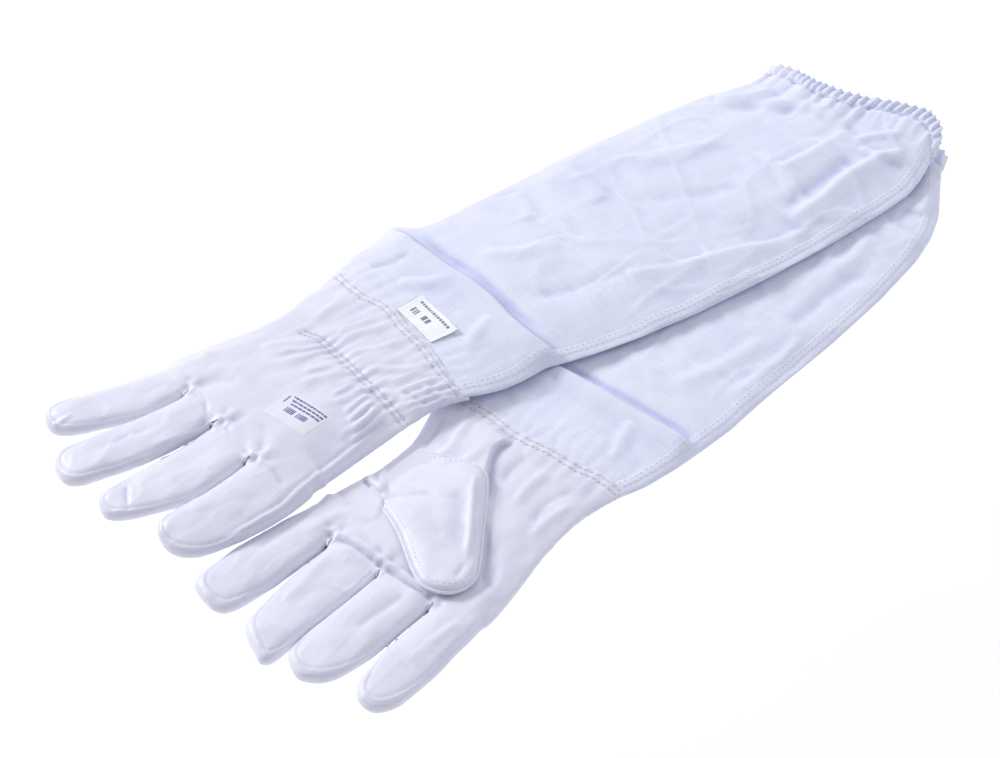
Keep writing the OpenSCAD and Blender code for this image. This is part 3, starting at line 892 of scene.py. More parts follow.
def finger_seam_relief(side, x, y):
    """seams round every finger, and slits between the fingers"""
    relief = np.zeros(len(x))
    finger = finger_at(side, x, y)
    edges = FINGER_EDGES[side]
    for i, (thumb_edge, little_edge) in enumerate(edges):
        path = thumb_edge + little_edge[::-1][1:]
        inset = np.abs(line_distance(x, y, path, 6.0)[0])
        tip_x = thumb_edge[-1][0]
        amount = 0.55 + 0.45 * ease(tip_x + 26, tip_x + 10, x)
        # a groove 2.5 mm in and a roll outside it
        seam = -0.55 * bell(inset - 2.5, 0.55) + 0.40 * bell(inset - 1.2, 0.8)
        relief += (finger == i) * ease(-112, -124, x) * amount * seam
    for k in range(3):
        end = max(edges[k][0][-1][0], edges[k + 1][0][-1][0])
        relief += (-1.5 * bell(y - SLITS[side][k](x), 0.95) * ease(-121, -126, x)
                   * ease(end + 6, end + 16, x))
    return relief


def join_relief(side, x, y, seed):
    """stitched rows and puckers beside the leather's edge"""
    from_edge = x - LEATHER_EDGE[side](y)
    relief = 0.35 * bell(from_edge + 3.7, 1.0)
    for row in JOIN_ROWS:
        pulls = 1 + 0.5 * np.sin(y * TURN / 3.4 + row)
        relief += -0.42 * bell(from_edge + row, 0.75) * pulls
    puckers = np.sin(y * TURN / 7.5 + 1.3 * noise(x, y, 14, seed + 3))
    return relief + 0.30 * puckers * np.exp(-np.abs(from_edge + 4) / 9.0)


def ruching_relief(glove, x, y):
    """gathers both ways from the left wrist's elastic, in the trough it pulls in"""
    relief = np.zeros(len(x))
    from_line = x - wrist_line(glove, y)
    phase = y + 2.2 * noise(x * 0.15, y, 9, 71) + 0.05 * from_line
    for wavelength, height, reach, start in RUCHES:
        local = 0.55 + 0.45 * noise(x * 0.3, y, 15, 80 + int(wavelength))
        wave = np.sin(TURN * phase / wavelength + start + 0.4 * noise(x, y, 20, 90))
        relief += (height * local * wave * np.exp(-np.abs(from_line) / reach)
                   * ease(-62, -52, y) * ease(34, 22, y))
    for row in WRIST_ROWS:
        relief += -0.75 * bell(from_line - row, 0.8) * ease(-64, -58, y) * ease(30, 22, y)
    return relief - 0.9 * bell(from_line, 5.5) * ease(-64, -50, y) * ease(34, 20, y)


def hand_relief(glove, x, y):
    """all the creases, seams and puckers of the leather seen from above"""
    side = glove.side
    seed = 11 if glove.left else 37
    # gentle dents all over, long facets down the fingers
    relief = (0.55 * layered_noise(x, y * 1.3, 26, seed, layers=2)
              + 0.28 * noise(x, y * 1.8, 11, seed + 5))
    relief += 0.30 * crest(noise(x * 0.8, y * 1.9, 13, seed + 9), 3) * ease(-100, -128, x)
    relief += finger_seam_relief(side, x, y) + join_relief(side, x, y, seed)
    strength = CREASE_STRENGTH[side]
    ends = (0.22, 0.22)
    slope = 2.4         # width of a fold's slow side, in widths of its steep side
    for points, width, height in HAND_RIDGES[side]:
        relief += ridge(x, y, points, width, height * strength, ends, spread=slope)
    for points, width, height in HAND_FOLDS[side]:
        relief += fold(x, y, points, width, height * strength, ends, run=slope * width)
    if glove.left:
        relief += ruching_relief(glove, x, y)
    else:
        relief += (fold(x, y, PALM_RIDGE, width=1.1, height=3.4, ends=(0.14, 0.10), run=17.0)
                   * ease(-64, -57, x) * ease(-6, -16, x))
    # a pit at each crotch, a raised rim towards the wrist and rays beyond it
    for i, (pit_x, pit_y) in enumerate(CROTCHES[side]):
        radius = np.hypot(x - pit_x, (y - pit_y) * 1.15)
        angle = np.arctan2(y - pit_y, x - pit_x)
        relief += 0.7 * bell(radius - 3.8, 1.6) * (0.55 + 0.45 * np.cos(angle))
        relief -= 1.1 * bell(radius, 1.8)
        relief += (0.42 * np.sin(angle * 5 + i) * bell(radius - 8, 4.5)
                   * (np.cos(angle) > -0.2))
    return relief


# ---------------------------------------------------------------------------
# leather hands


def ring_mesh(rings):
    """a closed body through rings of points"""
    count, size = len(rings), len(rings[0])
    faces = quads(count, size, closed=True).tolist()
    faces.append(list(range(size))[::-1])
    faces.append([(count - 1) * size + j for j in range(size)])
    return np.concatenate(rings), faces


def finger_body(glove, i):
    side = glove.side
    edges = [smooth_line(edge, 1.0, 4) for edge in FINGER_EDGES[side][i]]
    tip_x = edges[0][-1, 0]
    for edge, sign, wider in zip(edges, (1, -1), TIP_WIDER[side][i]):
        near = (ease(tip_x + 22, tip_x + 7, edge[:, 0])
                * ease(1.0, 0.84, np.linspace(0, 1, len(edge))))
        edge[:, 1] += sign * wider * near
        edge[:, 0] -= TIP_LONGER[side] * ease(tip_x + 26, tip_x + 4, edge[:, 0])
    end_x = edges[0][-1, 0]
    # rings lie closer towards the tip
    shares = np.linspace(0, 1, 58)
    shares = shares * 0.55 + 0.45 * np.sin(shares * np.pi / 2)
    shares[-1] = 0.992
    angle = np.linspace(0, TURN, 48, endpoint=False)
    across = signed_power(np.cos(angle), 2 / 3.6)
    rise = signed_power(np.sin(angle), 1.30)
    rings = []
    for thumb_side, little_side in zip(*(at_shares(edge, shares) for edge in edges)):
        middle, half = (thumb_side + little_side) / 2, (thumb_side - little_side) / 2
        from_tip = np.clip((middle[0] - end_x) / 10.0, 0.0, 1)
        thick = np.interp(middle[0], [end_x, -150, -124, -112, -98], [4.4, 5.0, 5.4, 5.6, 5.2])
        thick = thick * (0.34 + 0.66 * (1 - (1 - from_tip) ** 2.2) ** (1 / 1.8))
        half = half * (1 + 0.45 / (np.hypot(*half) + 1e-6))
        inset = 0.9 if middle[0] > -108 else 1.0        # narrower inside the hand
        x = middle[0] + across * half[0] * inset
        y = middle[1] + across * half[1] * inset
        # the thin tip sits low, as the leather there lies down
        height = finger_middle(glove, i, x, y) - (1 - from_tip) ** 2 * 0.8
        rings.append(np.stack([x, y + FINGER_SHIFT[i], height + rise * (thick + 0.3)], 1))
    return ring_mesh(rings)


def palm_body(glove):
    side = glove.side
    angle = np.linspace(0, TURN, 64, endpoint=False)
    rings = []
    for x in np.r_[-124.5, -123.5, -122, -120, -118, -115, np.arange(-112, 9, 3.0)]:
        share = float(apart(x))
        high = float(HAND_THUMB_SIDE[side](x)) + FINGER_SHIFT[0] * share
        low = float(HAND_LITTLE_SIDE[side](x)) + FINGER_SHIFT[3] * share
        narrowing = 0.0 if x > -112 else 5.0 * ((-112 - x) / 12.5) ** 1.5
        squareness = float(np.interp(x, [-100, -60], [2.9, 2.15]))
        xs = np.full(len(angle), float(x))
        y = ((high + low) / 2
             + signed_power(np.cos(angle), 2 / squareness) * ((high - low) / 2 - narrowing))
        z = (hand_middle(glove, x, y - shift_at(side, xs, y))
             + signed_power(np.sin(angle), 2 / squareness) * half_thickness(x))
        rings.append(np.stack([xs, y, z], 1))
    return ring_mesh(rings)


def fuse(bodies, size):
    """joins bodies into one quad surface by a voxel remesh"""
    points, faces, count = [], [], 0
    for body_points, body_faces in bodies:
        points.append(body_points)
        faces += [[i + count for i in face] for face in body_faces]
        count += len(body_points)
    mesh = bpy.data.meshes.new("tmp")
    mesh.from_pydata(np.concatenate(points).tolist(), [], faces)
    bm = bmesh.new()
    bm.from_mesh(mesh)
    bmesh.ops.recalc_face_normals(bm, faces=bm.faces)
    bm.to_mesh(mesh)
    bm.free()
    ob = bpy.data.objects.new("tmp", mesh)
    bpy.context.scene.collection.objects.link(ob)
    remesh = ob.modifiers.new("r", "REMESH")
    remesh.mode = "VOXEL"
    remesh.voxel_size = size
    evaluated = ob.evaluated_get(bpy.context.evaluated_depsgraph_get())
    result = evaluated.to_mesh()
    fused = np.zeros(len(result.vertices) * 3)
    result.vertices.foreach_get("co", fused)
    corners = np.zeros(len(result.polygons) * 4, int)
    result.polygons.foreach_get("vertices", corners)
    evaluated.to_mesh_clear()
    bpy.data.objects.remove(ob)
    bpy.data.meshes.remove(mesh)
    return fused.reshape(-1, 3), corners.reshape(-1, 4)


def cut(table, faces, level):
    """cuts triangles along level = 0. Rows of table are vertices, with any further columns.
    Returns the new table, faces and level"""
    level = np.where(np.abs(level) < 1e-5, 1e-5, level)
    above = level[faces] > 0
    count = above.sum(1)
    whole = (count == 0) | (count == 3)
    crossed, above = faces[~whole], above[~whole]
    row = np.arange(len(crossed))
    # the corner alone on its side of the cut, then the other two
    lone = np.where(above.sum(1) == 1, above.argmax(1), (~above).argmax(1))
    a, b, c = (crossed[row, (lone + k) % 3] for k in range(3))
    edges = np.sort(np.concatenate([np.stack([a, b], 1), np.stack([a, c], 1)]), axis=1)
    keys, place = np.unique(edges[:, 0].astype(np.int64) * len(table) + edges[:, 1],
                            return_inverse=True)
    start, end = (keys // len(table)).astype(int), (keys % len(table)).astype(int)
    share = (level[start] / (level[start] - level[end]))[:, None]
    added = table[start] + (table[end] - table[start]) * share
    on_ab, on_ac = len(table) + place[:len(crossed)], len(table) + place[len(crossed):]
    faces = np.concatenate([faces[whole], np.stack([a, on_ab, on_ac], 1),
                            np.stack([on_ab, b, c], 1), np.stack([on_ab, c, on_ac], 1)])
    return np.concatenate([table, added]), faces, np.concatenate([level, np.zeros(len(added))])


def press_flat(height):
    return np.where(height < TABLE, TABLE + (height - TABLE) * 0.05, height)


def leather_surface(glove):
    """the whole hand as one quad surface: points, quads and how far each faces up"""
    bodies = [palm_body(glove)] + [finger_body(glove, i) for i in range(4)]
    points, faces = fuse(bodies, 1.02)
    points = smooth_field(points, faces, 3)
    points[:, 1] -= shift_at(glove.side, points[:, 0], points[:, 1])
    normals = vertex_normals(points, faces)
    upper = ease(-0.15, 0.45, smooth_field(normals[:, 2], faces, 3))
    relief = hand_relief(glove, points[:, 0], points[:, 1])
    under = 0.35 * layered_noise(points[:, 0], points[:, 1], 24, 55, layers=2)
    points[:, 2] += upper * np.clip(relief, -2.2, 5.0) + (1 - upper) * under * 0.4
    points = smooth_field(points, faces, 1)
    if not glove.left:
        points[:, 2] = press_flat(points[:, 2])
    return points, faces, upper


def build_leather(glove):
    """makes the leather pieces and returns a tree of their surface"""
    side = glove.side
    points, faces, upper = leather_surface(glove)
    table = np.c_[points, vertex_normals(points, faces),
                  crease_depth(points[:, 2], faces, upper)]
    faces = np.concatenate([faces[:, [0, 1, 2]], faces[:, [0, 2, 3]]])
    table, faces, level = cut(table, faces, table[:, 0] - LEATHER_EDGE[side](table[:, 1]))
    faces = faces[(level[faces].sum(1) / 3) < 0]
    for cut_x in (CUFF_END_X, HAND_END_X):
        table, faces, _ = cut(table, faces, table[:, 0] - cut_x)

    def above_middle(rows):
        x, y, height = rows[:, 0], rows[:, 1], rows[:, 2]
        share = ease(-112, -122, x)
        finger = finger_at(side, x, y)
        return height - (hand_middle(glove, x, y) * (1 - share)
                         + finger_middle(glove, finger, x, y) * share)

    # the hand parts at its middle, the fingers at the two edges of their side strips
    strip = 2.4
    for split in (-strip, 0.0, strip):
        zone = table[faces, 0].mean(1)
        part = (zone > HAND_END_X) & (zone < CUFF_END_X) if split == 0 else zone < HAND_END_X
        table, parted, _ = cut(table, faces[part], above_middle(table) - split)
        faces = np.concatenate([faces[~part], parted])
    heights = above_middle(table)[faces].mean(1)
    table[:, 3:6] /= np.linalg.norm(table[:, 3:6], axis=1, keepdims=True) + 1e-9
    points, normals, creases = table[:, :3], table[:, 3:6], table[:, 6]
    centres = points[faces].mean(1)
    finger = finger_at(side, centres[:, 0], centres[:, 1])
    in_cuff = centres[:, 0] > CUFF_END_X
    in_fingers = centres[:, 0] < HAND_END_X
    in_hand = ~in_cuff & ~in_fingers

    def make(name, part):
        piece = Piece()
        piece.shell(points, faces[part], normals, 0.9, creases)
        return piece.make(glove, name + "_leather", LEATHER, name)

    top, bottom = ("back", "palm") if glove.left else ("palm", "back")
    glove.bend_at_wrist(make("leather_cuff", in_cuff))
    for name, part in ((top, heights > 0), (bottom, heights <= 0)):
        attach(make(name + "_panel", in_hand & part), side + "_hand")
    for i, (name, (hinge_y, splay)) in enumerate(zip(FINGERS, HINGES[side])):
        mine = in_fingers & (finger == i)
        cosine, sine = math.cos(math.radians(splay)), math.sin(math.radians(splay))
        start = (HINGE_X + 3 * cosine, hinge_y - 3 * sine)
        end = (HINGE_X - 14 * cosine, hinge_y + 14 * sine)
        for kind, part in ((top, heights > strip), (bottom, heights < -strip),
                           ("fourchette", np.abs(heights) <= strip)):
            glove.blend(make(f"{name}_{kind}", mine & part), "hand", name, start, end)
    return surface_tree(points, faces)


# ---------------------------------------------------------------------------
# canvas sleeves

# y of the sleeve's edge on the thumb side, by x
SLEEVE_THUMB_SIDE = {
    "right": curve([(-10, 54), (0, 56.5), (10, 59), (25, 62.5), (40, 65), (48, 66), (56, 63),
                    (66, 62), (90, 61.5), (115, 62), (150, 63.5), (200, 64), (250, 61),
                    (280, 56.5), (300, 55), (320, 57), (345, 58)], 2.2),
    "left": curve([(-10, 58.5), (0, 61.5), (13, 66), (28, 69), (36, 73), (43, 75), (47, 72),
                   (53, 65.5), (66, 63.5), (90, 64.7), (137, 66.2), (172, 66.6),
                   (230, 64.5), (262, 61.3), (285, 56), (297, 54), (310, 56), (320, 60),
                   (340, 61)], 2.2)}
# and on the little finger side
SLEEVE_LITTLE_SIDE = {
    "right": curve([(-10, -64), (0, -68.5), (10, -72.6), (30, -77.3), (44, -79.4), (56, -81),
                    (70, -83), (85, -83.5), (115, -85), (160, -88.8), (207, -90.8),
                    (249, -89.4), (270, -86), (290, -79.3), (312, -67.4), (325, -60.5),
                    (345, -54)], 2.2),
    "left": curve([(-10, -61.5), (0, -66.5), (14, -69), (27, -70), (44, -69.5), (56, -72.5),
                   (72, -76), (100, -80.5), (138, -84), (192, -85.5), (240, -84.5),
                   (278, -82.5), (302, -79.5), (318, -73.5), (333, -66), (341, -62),
                   (365, -58)], 2.2)}
# x of the hem's edge, by y
HEM_LINE = {
    "right": curve([(-62, 341), (-54, 343), (-40, 341), (-10, 333), (20, 327), (45, 323.5),
                    (62, 321)]),
    "left": curve([(-68, 342), (-62, 353), (-53, 359.5), (-43, 359.5), (-31, 354),
                   (-18, 347), (-7, 338.5), (11, 331), (26, 326.5), (39, 326.5),
                   (51, 325.5), (61, 320)], 2.0)}

# creases of the canvas: (x, y) points, width, height. A negative height is a groove
SLEEVE_RIDGES = {
    "left": [
        ([(50, 60), (51, 38), (55, 4), (54, -32), (58, -54)], 4.0, -1.2),
        ([(277, 37), (296, 20), (308, 2), (309, -21)], 5.0, 1.1),
        ([(262, 45), (284, 27), (296, 6)], 6.0, -0.9),
        ([(226, -50), (262, -46), (296, -40)], 4.5, -1.1),
        ([(251, -2), (249, -20), (241, -52)], 5.0, 0.9),
        ([(62, 20), (86, 8), (112, -2)], 5.0, 0.7),
        ([(64, -24), (92, -34), (126, -38)], 5.0, -0.7),
        ([(186, 34), (214, 24), (246, 20)], 6.0, 0.8),
        ([(170, 2), (198, -12), (226, -20)], 6.0, -0.7),
        ([(14, 30), (26, 18), (42, 10)], 4.0, 0.8),
        ([(12, -40), (24, -30), (40, -26)], 3.6, 0.7),
        ([(8, 50), (20, 44), (36, 44)], 3.0, -0.6),
        ([(318, -60), (306, -50), (300, -36)], 3.2, 1.0),
        ([(335, -44), (318, -34), (302, -30)], 3.0, 0.9),
    ],
    "right": [
        ([(53, 20), (53, -4), (52.5, -34), (52, -76)], 3.4, -1.3),
        ([(334, -40), (316, -44), (290, -44)], 3.6, 1.0),
        ([(330, -50), (310, -54), (284, -58)], 3.0, -1.0),
        ([(70, -40), (104, -54), (140, -60)], 5.5, 0.9),
        ([(84, -70), (120, -74), (156, -76)], 4.0, 0.8),
        ([(150, -64), (186, -66), (224, -74)], 5.0, -0.9),
        ([(196, -58), (222, -62), (250, -60)], 5.0, 0.9),
        ([(12, 20), (24, 14), (40, 12)], 4.0, 0.8),
        ([(10, -50), (24, -44), (40, -42)], 3.6, 0.8),
    ],
}
# the same with the width of the slow side last. The first is the pressed fold of the cuff
SLEEVE_FOLDS = {
    "left": [
        ([(39, 74), (40.5, 60), (41.5, 42), (43.5, 20), (46.5, 0), (47, -19), (45.5, -34),
          (47, -50), (50.5, -64), (53, -78)], 1.9, 2.9, 15),
        ([(246, -26), (276, -25), (309, -22)], 3.5, 1.5, 9),
        ([(224, -60), (250, -58), (278, -52), (300, -50), (326, -54)], 4.0, 1.8, 10),
        ([(150, -54), (180, -60), (211, -69), (230, -70)], 3.2, 1.0, 8),
        ([(116, 58), (112, 42), (107, 27)], 3.6, 0.9, 8),
        ([(152, 57), (153, 36), (151, 15)], 3.6, 0.9, 8),
        ([(118, -42), (138, -49), (164, -58)], 3.4, 0.9, 8),
        ([(268, 56), (280, 44), (300, 36)], 3.5, 1.0, 8),
    ],
    "right": [
        ([(47, 66), (46.5, 19), (46, -8), (45.2, -35), (45.3, -54), (45.4, -84)],
         1.3, 2.7, 10),
        ([(262, -50), (257, -68), (259, -87)], 4.0, 1.2, 9),
        ([(318, -61), (300, -66), (280, -72)], 3.4, 1.4, 8),
    ],
}
# hem gathers: spacing of the scallops; then pleats: wavelength, height, reach, phase
SCALLOP = 5.6
PLEATS = ((5.6, 0.75, 6.5, 0.0), (10.8, 1.0, 15.0, 1.0), (19.0, 1.25, 27.0, 2.2))


def sleeve_middle(glove, x, y):
    """middle height of the sleeve"""
    if not glove.left:
        return np.interp(x, [-10, 50, 100, 360], [6.0, 5.4, 5.3, 5.7]) + 0 * y
    middle = np.interp(x, [-10, 0, 50, 120, 300, 360], [18.6, 18.5, 18.1, 18.0, 18.2, 18.6])
    # both sides sink where nothing lies under them
    middle = middle - 3.4 * ease(-34, -84, y) * ease(-6, 20, x)
    return middle - (2.0 * ease(-20 + 0.28 * x, 60 + 0.1 * x, y) * ease(290, 180, x)
                     * ease(0, 70, x))


def sleeve_half_thickness(x):
    return np.interp(x, [-10, 0, 20, 45, 60, 150, 300, 330, 360],
                     [4.3, 4.7, 4.9, 5.2, 4.7, 4.9, 5.0, 5.0, 4.9])


def sleeve_relief(glove, x, y):
    """creases of the canvas seen from above"""
    side = glove.side
    seed = 21 if glove.left else 47
    relief = (0.8 * noise(x, y, 46, seed) + 0.28 * noise(x * 1.2, y, 21, seed + 2)
              + 0.14 * noise(x, y, 9, seed + 4))
    # drag lines along the sleeve and slanting ones
    drag = noise(x * 0.42 + y * 0.25, y * 0.95 - x * 0.12, 22, seed + 7)
    relief += 0.38 * crest(drag, 2.5) * ease(60, 110, x)
    slant = noise(x * 0.8 - y * 0.4, y * 0.7 + x * 0.3, 30, seed + 17)
    relief += 0.32 * crest(slant, 3) * ease(52, 80, x)
    # puckers where the canvas runs into the leather
    puckers = np.sin(y * TURN / 8.3 + 1.7 * noise(x, y, 12, seed + 5))
    relief += 0.14 * puckers * np.exp(-np.clip(x, 0, None) / 12.0)
    for points, width, height in SLEEVE_RIDGES[side]:
        relief += ridge(x, y, points, width, height, ends=(0.2, 0.2))
    for points, width, height, run in SLEEVE_FOLDS[side]:
        relief += fold(x, y, points, width, height, ends=(0.12, 0.12), run=run)
    return relief


def hem_gathers(arc, distance, phase, rise):
    """height of the hem's gathers, distance mm from its edge and arc mm round it"""
    scallops = 0.95 * (distance < 10.5) * ease(10.9, 9.0, distance)
    pleats = 0
    for wavelength, height, reach, start in PLEATS:
        wobble = noise(arc, distance * 0.12, 15, 62 + int(wavelength))
        pleats = pleats + (
            height * np.sin(arc * TURN / wavelength + start + 1.6 * wobble)
            * np.exp(-np.clip(distance - 10, 0, None) / reach) * ease(8, 12, distance)
            * (0.6 + 0.4 * noise(arc, distance * 0.05, 19, 66 + int(wavelength))))
    gathers = scallops * np.sin(phase) + pleats * np.where(rise > 0, 1.0, 0.6)
    # the casing is fuller than the stitch line beside it
    fullness = 0.75 * bell(distance - 5.5, 3.6) - 1.0 * bell(distance - HEM_STITCH, 1.3)
    outward = signed_power(rise, 0.5)
    return outward * gathers + outward * fullness


def sleeve_surface(glove):
    """points of the sleeve by row and place in the ring, and distances to the hem"""
    side = glove.side
    columns = 262
    rows = 290
    # one flattened ring, evenly spaced along its length
    angle = np.linspace(0, TURN, 4001)
    across = signed_power(np.cos(angle), 2 / 2.05)
    rise = signed_power(np.sin(angle), 2 / 2.05)
    length = np.r_[0, np.cumsum(np.hypot(np.diff(across * 70), np.diff(rise * 5)))]
    arc = np.linspace(0, length[-1], columns, endpoint=False)
    across, rise = np.interp(arc, length, across), np.interp(arc, length, rise)
    thumb_side, little_side = SLEEVE_THUMB_SIDE[side], SLEEVE_LITTLE_SIDE[side]
    high, low = float(thumb_side(330)), float(little_side(330))
    hem_x = HEM_LINE[side](across * (high - low) / 2 + (high + low) / 2)
    mean_x = float(np.mean(HEM_LINE[side](np.linspace(-50, 50, 21))))
    # rows lie closer at the hem, and take on its slant as they near it
    share = np.linspace(0, 1, rows)[:, None]
    share = share * 0.86 + 0.14 * (1 - (1 - share) ** 2.0)
    slant = ease(0.55, 1.0, share)
    x = SLEEVE_START_X + share * ((1 - slant) * (mean_x - SLEEVE_START_X)
                                  + slant * (hem_x - SLEEVE_START_X))
    to_hem = hem_x - x
    high, low = thumb_side(x), little_side(x)
    y = (high + low) / 2 + across * (high - low) / 2
    height = sleeve_middle(glove, x, y) + rise * sleeve_half_thickness(x)
    x, y, height = x.ravel(), y.ravel(), height.ravel()
    distance = np.clip(to_hem.ravel(), 0, None)
    arc, across, rise = (np.tile(values, rows) for values in (arc, across, rise))

    upper = ease(-0.2, 0.5, rise)
    middle = sleeve_middle(glove, x, y)
    relief = sleeve_relief(glove, x, y) * ease(-8, 6, x)
    height = (height + upper * np.clip(relief * 1.5, -2.6, 5.0)
              + (1 - upper) * 0.35 * noise(x, y, 30, 77) * ease(0, 20, x))
    phase = arc * TURN / SCALLOP + 2.8 * noise(arc, arc * 0 + 3, 13, 61)
    height = height + hem_gathers(arc, distance, phase, rise)
    # scalloped edge, and waves in the two sides near the hem
    x = x + np.exp(-distance / 5.0) * (0.8 * np.sin(phase + 0.9)
                                       + 0.6 * noise(arc, arc * 0, 9, 63))
    side_waves = (0.9 * np.sin(phase) * ease(16, 6, distance)
                  + 0.7 * np.sin(distance * TURN / 9.0) * np.exp(-distance / 16)
                  * ease(10, 14, distance))
    y = y + signed_power(across, 6) * side_waves
    if glove.left:
        height = np.where(rise < 0, np.maximum(height, middle - 5.6), height)
    else:
        height = press_flat(height)
        # the other sleeve lies across this one, so it stays flat under it
        under = ease(2, 10, y - (10 - 0.352 * (x - 44))) * ease(18, 30, x)
        height = height - under * np.clip(height - 11.2, 0, None) * 0.95
    points = smooth_field(np.stack([x, y, height], 1), quads(rows, columns, closed=True), 1)
    return points.reshape(rows, columns, 3), to_hem


def hem_casing(outer, normals, creases):
    """a sheet that runs to the hem's edge, round it and back inside to the stitch line"""
    rows, columns = outer.shape[:2]
    piece = Piece()
    faces = quads(rows, columns, closed=True)
    piece.add(outer.reshape(-1, 3), faces, normals.reshape(-1, 3), creases.ravel())
    depth = 1.9 * np.sin(np.linspace(0, 1, rows) * np.pi) ** 0.6 + 0.8
    inner = outer - normals * depth[:, None, None]
    piece.add(inner.reshape(-1, 3), faces[:, ::-1])
    # both ends are closed by a rounded strip
    strip = quads(5, columns, closed=True)
    for row, bulge, turned in ((0, -0.6, strip), (rows - 1, 0.6, strip[:, ::-1])):
        arcs = []
        for share in np.arange(5) / 4:
            push = math.sin(math.pi * share) * bulge
            arcs.append(outer[row] * (1 - share) + inner[row] * share
                        + np.array([push, 0, 0]))
        piece.add(np.concatenate(arcs), turned)
    return piece


def hem_elastic(glove, points, normals, first, last):
    """a flat crimped band inside the casing"""
    columns = points.shape[1]
    picked = np.linspace(first, last, 6).astype(int)
    outer, inner = (points[picked] - normals[picked] * depth for depth in (1.15, 1.75))
    faces = quads(len(picked), columns, closed=True)
    piece = Piece()
    piece.add(outer.reshape(-1, 3), faces)
    piece.add(inner.reshape(-1, 3), faces[:, ::-1])
    faces = quads(2, columns, closed=True)
    for row, turned in ((0, faces[:, ::-1]), (-1, faces)):
        piece.add(np.concatenate([outer[row], inner[row]]), turned)
    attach(piece.make(glove, "hem_elastic_band", ELASTIC, "hem_elastic"),
            glove.side + "_sleeve")


def hem_stitching(glove, ring, normals):
    """stitches all round the hem's stitch line"""
    line = ring + normals * 0.12
    closed = np.r_[line, line[:1]]
    run = np.r_[0, np.cumsum(np.linalg.norm(np.diff(closed, axis=0), axis=1))]
    total = run[-1]
    count = int(total / 3.3)
    piece = Piece()
    for k in range(count):
        places = (k + 0.5) * total / count + np.array([-1.05, -0.6, 0, 0.6, 1.05])
        path = np.stack([np.interp(places % total, run, column) for column in closed.T], 1)
        normal = normals[min(len(ring) - 1, int((k + 0.5) / count * len(ring)))]
        path = path + normal * np.array([-0.3, 0.05, 0.14, 0.05, -0.3])[:, None]
        piece.tube(path, [0.16, 0.26, 0.28, 0.26, 0.16])
    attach(piece.make(glove, "hem_stitching_thread", THREAD, "hem_stitching"),
            glove.side + "_sleeve")


def side_seam(glove, tree):
    """a doubled strip just inside the little finger side, with two rows of thread"""
    xs = np.arange(-6, float(HEM_LINE[glove.side](-50)) - 13, 2.0)
    edge_y = SLEEVE_LITTLE_SIDE[glove.side](xs)
    band = []
    # distance in from the edge, and height above the canvas
    for inset, lift in ((4.2, 0.02), (4.9, 0.26), (6.6, 0.26), (8.3, 0.26), (9.0, 0.02)):
        ys = edge_y + inset + 0.25 * noise(xs, xs * 0, 12, 91)
        heights = np.array([surface_height(tree, x, y) or 0 for x, y in zip(xs, ys)])
        band.append(np.stack([xs, ys, heights + lift], 1))
    faces = quads(len(band), len(xs))
    points = np.concatenate(band)
    points[:, 2] += 0.06 * np.sin(points[:, 0] * TURN / 3.3)
    piece = Piece()
    piece.flat_shell(points, faces, 0.5)
    glove.bend_at_fold(piece.make(glove, "side_seam_fell", CANVAS, "sleeve_side_seam"))
    piece = Piece()
    seam_tree = surface_tree(points, faces)
    for inset in (5.3, 7.9):
        piece.stitch(seam_tree, np.stack([xs, edge_y + inset], 1)[2:-2],
                     pitch=3.3, length=2.1, radius=0.15, lift=-0.06)
    glove.bend_at_fold(piece.make(glove, "side_seam_thread", THREAD))


def build_sleeve(glove):
    """makes the canvas pieces and returns a tree of their surface"""
    grid, to_hem = sleeve_surface(glove)
    rows, columns = grid.shape[:2]
    faces = quads(rows, columns, closed=True)
    points = grid.reshape(-1, 3)
    normals = vertex_normals(points, faces)
    upper = ease(0.15, 0.5, smooth_field(normals[:, 2], faces, 2))
    creases = crease_depth(points[:, 2], faces, upper)
    normal_grid = normals.reshape(rows, columns, 3)
    # rows where the pieces part: the cuff's fold and the hem's stitch line
    fold_row = int(np.argmin(np.abs(grid[:, columns // 4, 0] - FOLD_X)))
    hem_row = rows - 1 - int(np.argmin(np.abs(to_hem[::-1].mean(1) - HEM_STITCH)))
    for name, start, end in (("cuff_canvas", 0, fold_row),
                             ("sleeve_canvas", fold_row, hem_row)):
        piece = Piece()
        piece.shell(points, faces[start * columns:end * columns], normals, 0.75, creases)
        glove.bend_at_fold(piece.make(glove, name + "_cloth", CANVAS, name))
    piece = hem_casing(grid[hem_row:], normal_grid[hem_row:],
                       creases.reshape(rows, columns)[hem_row:])
    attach(piece.make(glove, "hem_casing_cloth", CANVAS, "hem_casing"),
            glove.side + "_sleeve")
    tree = surface_tree(points, faces)
    hem_elastic(glove, grid, normal_grid, hem_row + 2, rows - 3)
    hem_stitching(glove, grid[hem_row], normal_grid[hem_row])
    side_seam(glove, tree)
    return tree


# ---------------------------------------------------------------------------
# thumbs: flat, sewn round the edge, reaching over the palm's side of the glove

# (x, y) edges from the tip to the root: the one nearer the fingers, then the one nearer
# the wrist
THUMB_EDGES = {
    "right": (
        [(-113.2, -44.2), (-117.6, -37), (-118.4, -29), (-113.5, -20), (-107, -10.5),
         (-100, -0.5), (-95, 9), (-91, 17), (-88, 26), (-86, 35)],
        [(-108, -46.8), (-100.5, -47.8), (-93, -44.2), (-86, -39.5), (-77.5, -33.5),
         (-69, -28), (-61, -22.5), (-54, -17.5), (-47, -12.4), (-41.5, -7.5), (-38.5, -1),
         (-39.5, 10), (-47, 33)]),
    "left": (
        [(-113, -42.4), (-117, -36), (-117.8, -28), (-113, -19), (-106, -9), (-98, 6),
         (-92, 24), (-89, 34), (-88, 40), (-86, 44.5)],
        [(-108, -45.2), (-100, -45.4), (-92.5, -42), (-84, -36.5), (-76, -31.5), (-66, -22),
         (-58, -9), (-53, 10), (-51, 30), (-50.5, 44.5)]),
}
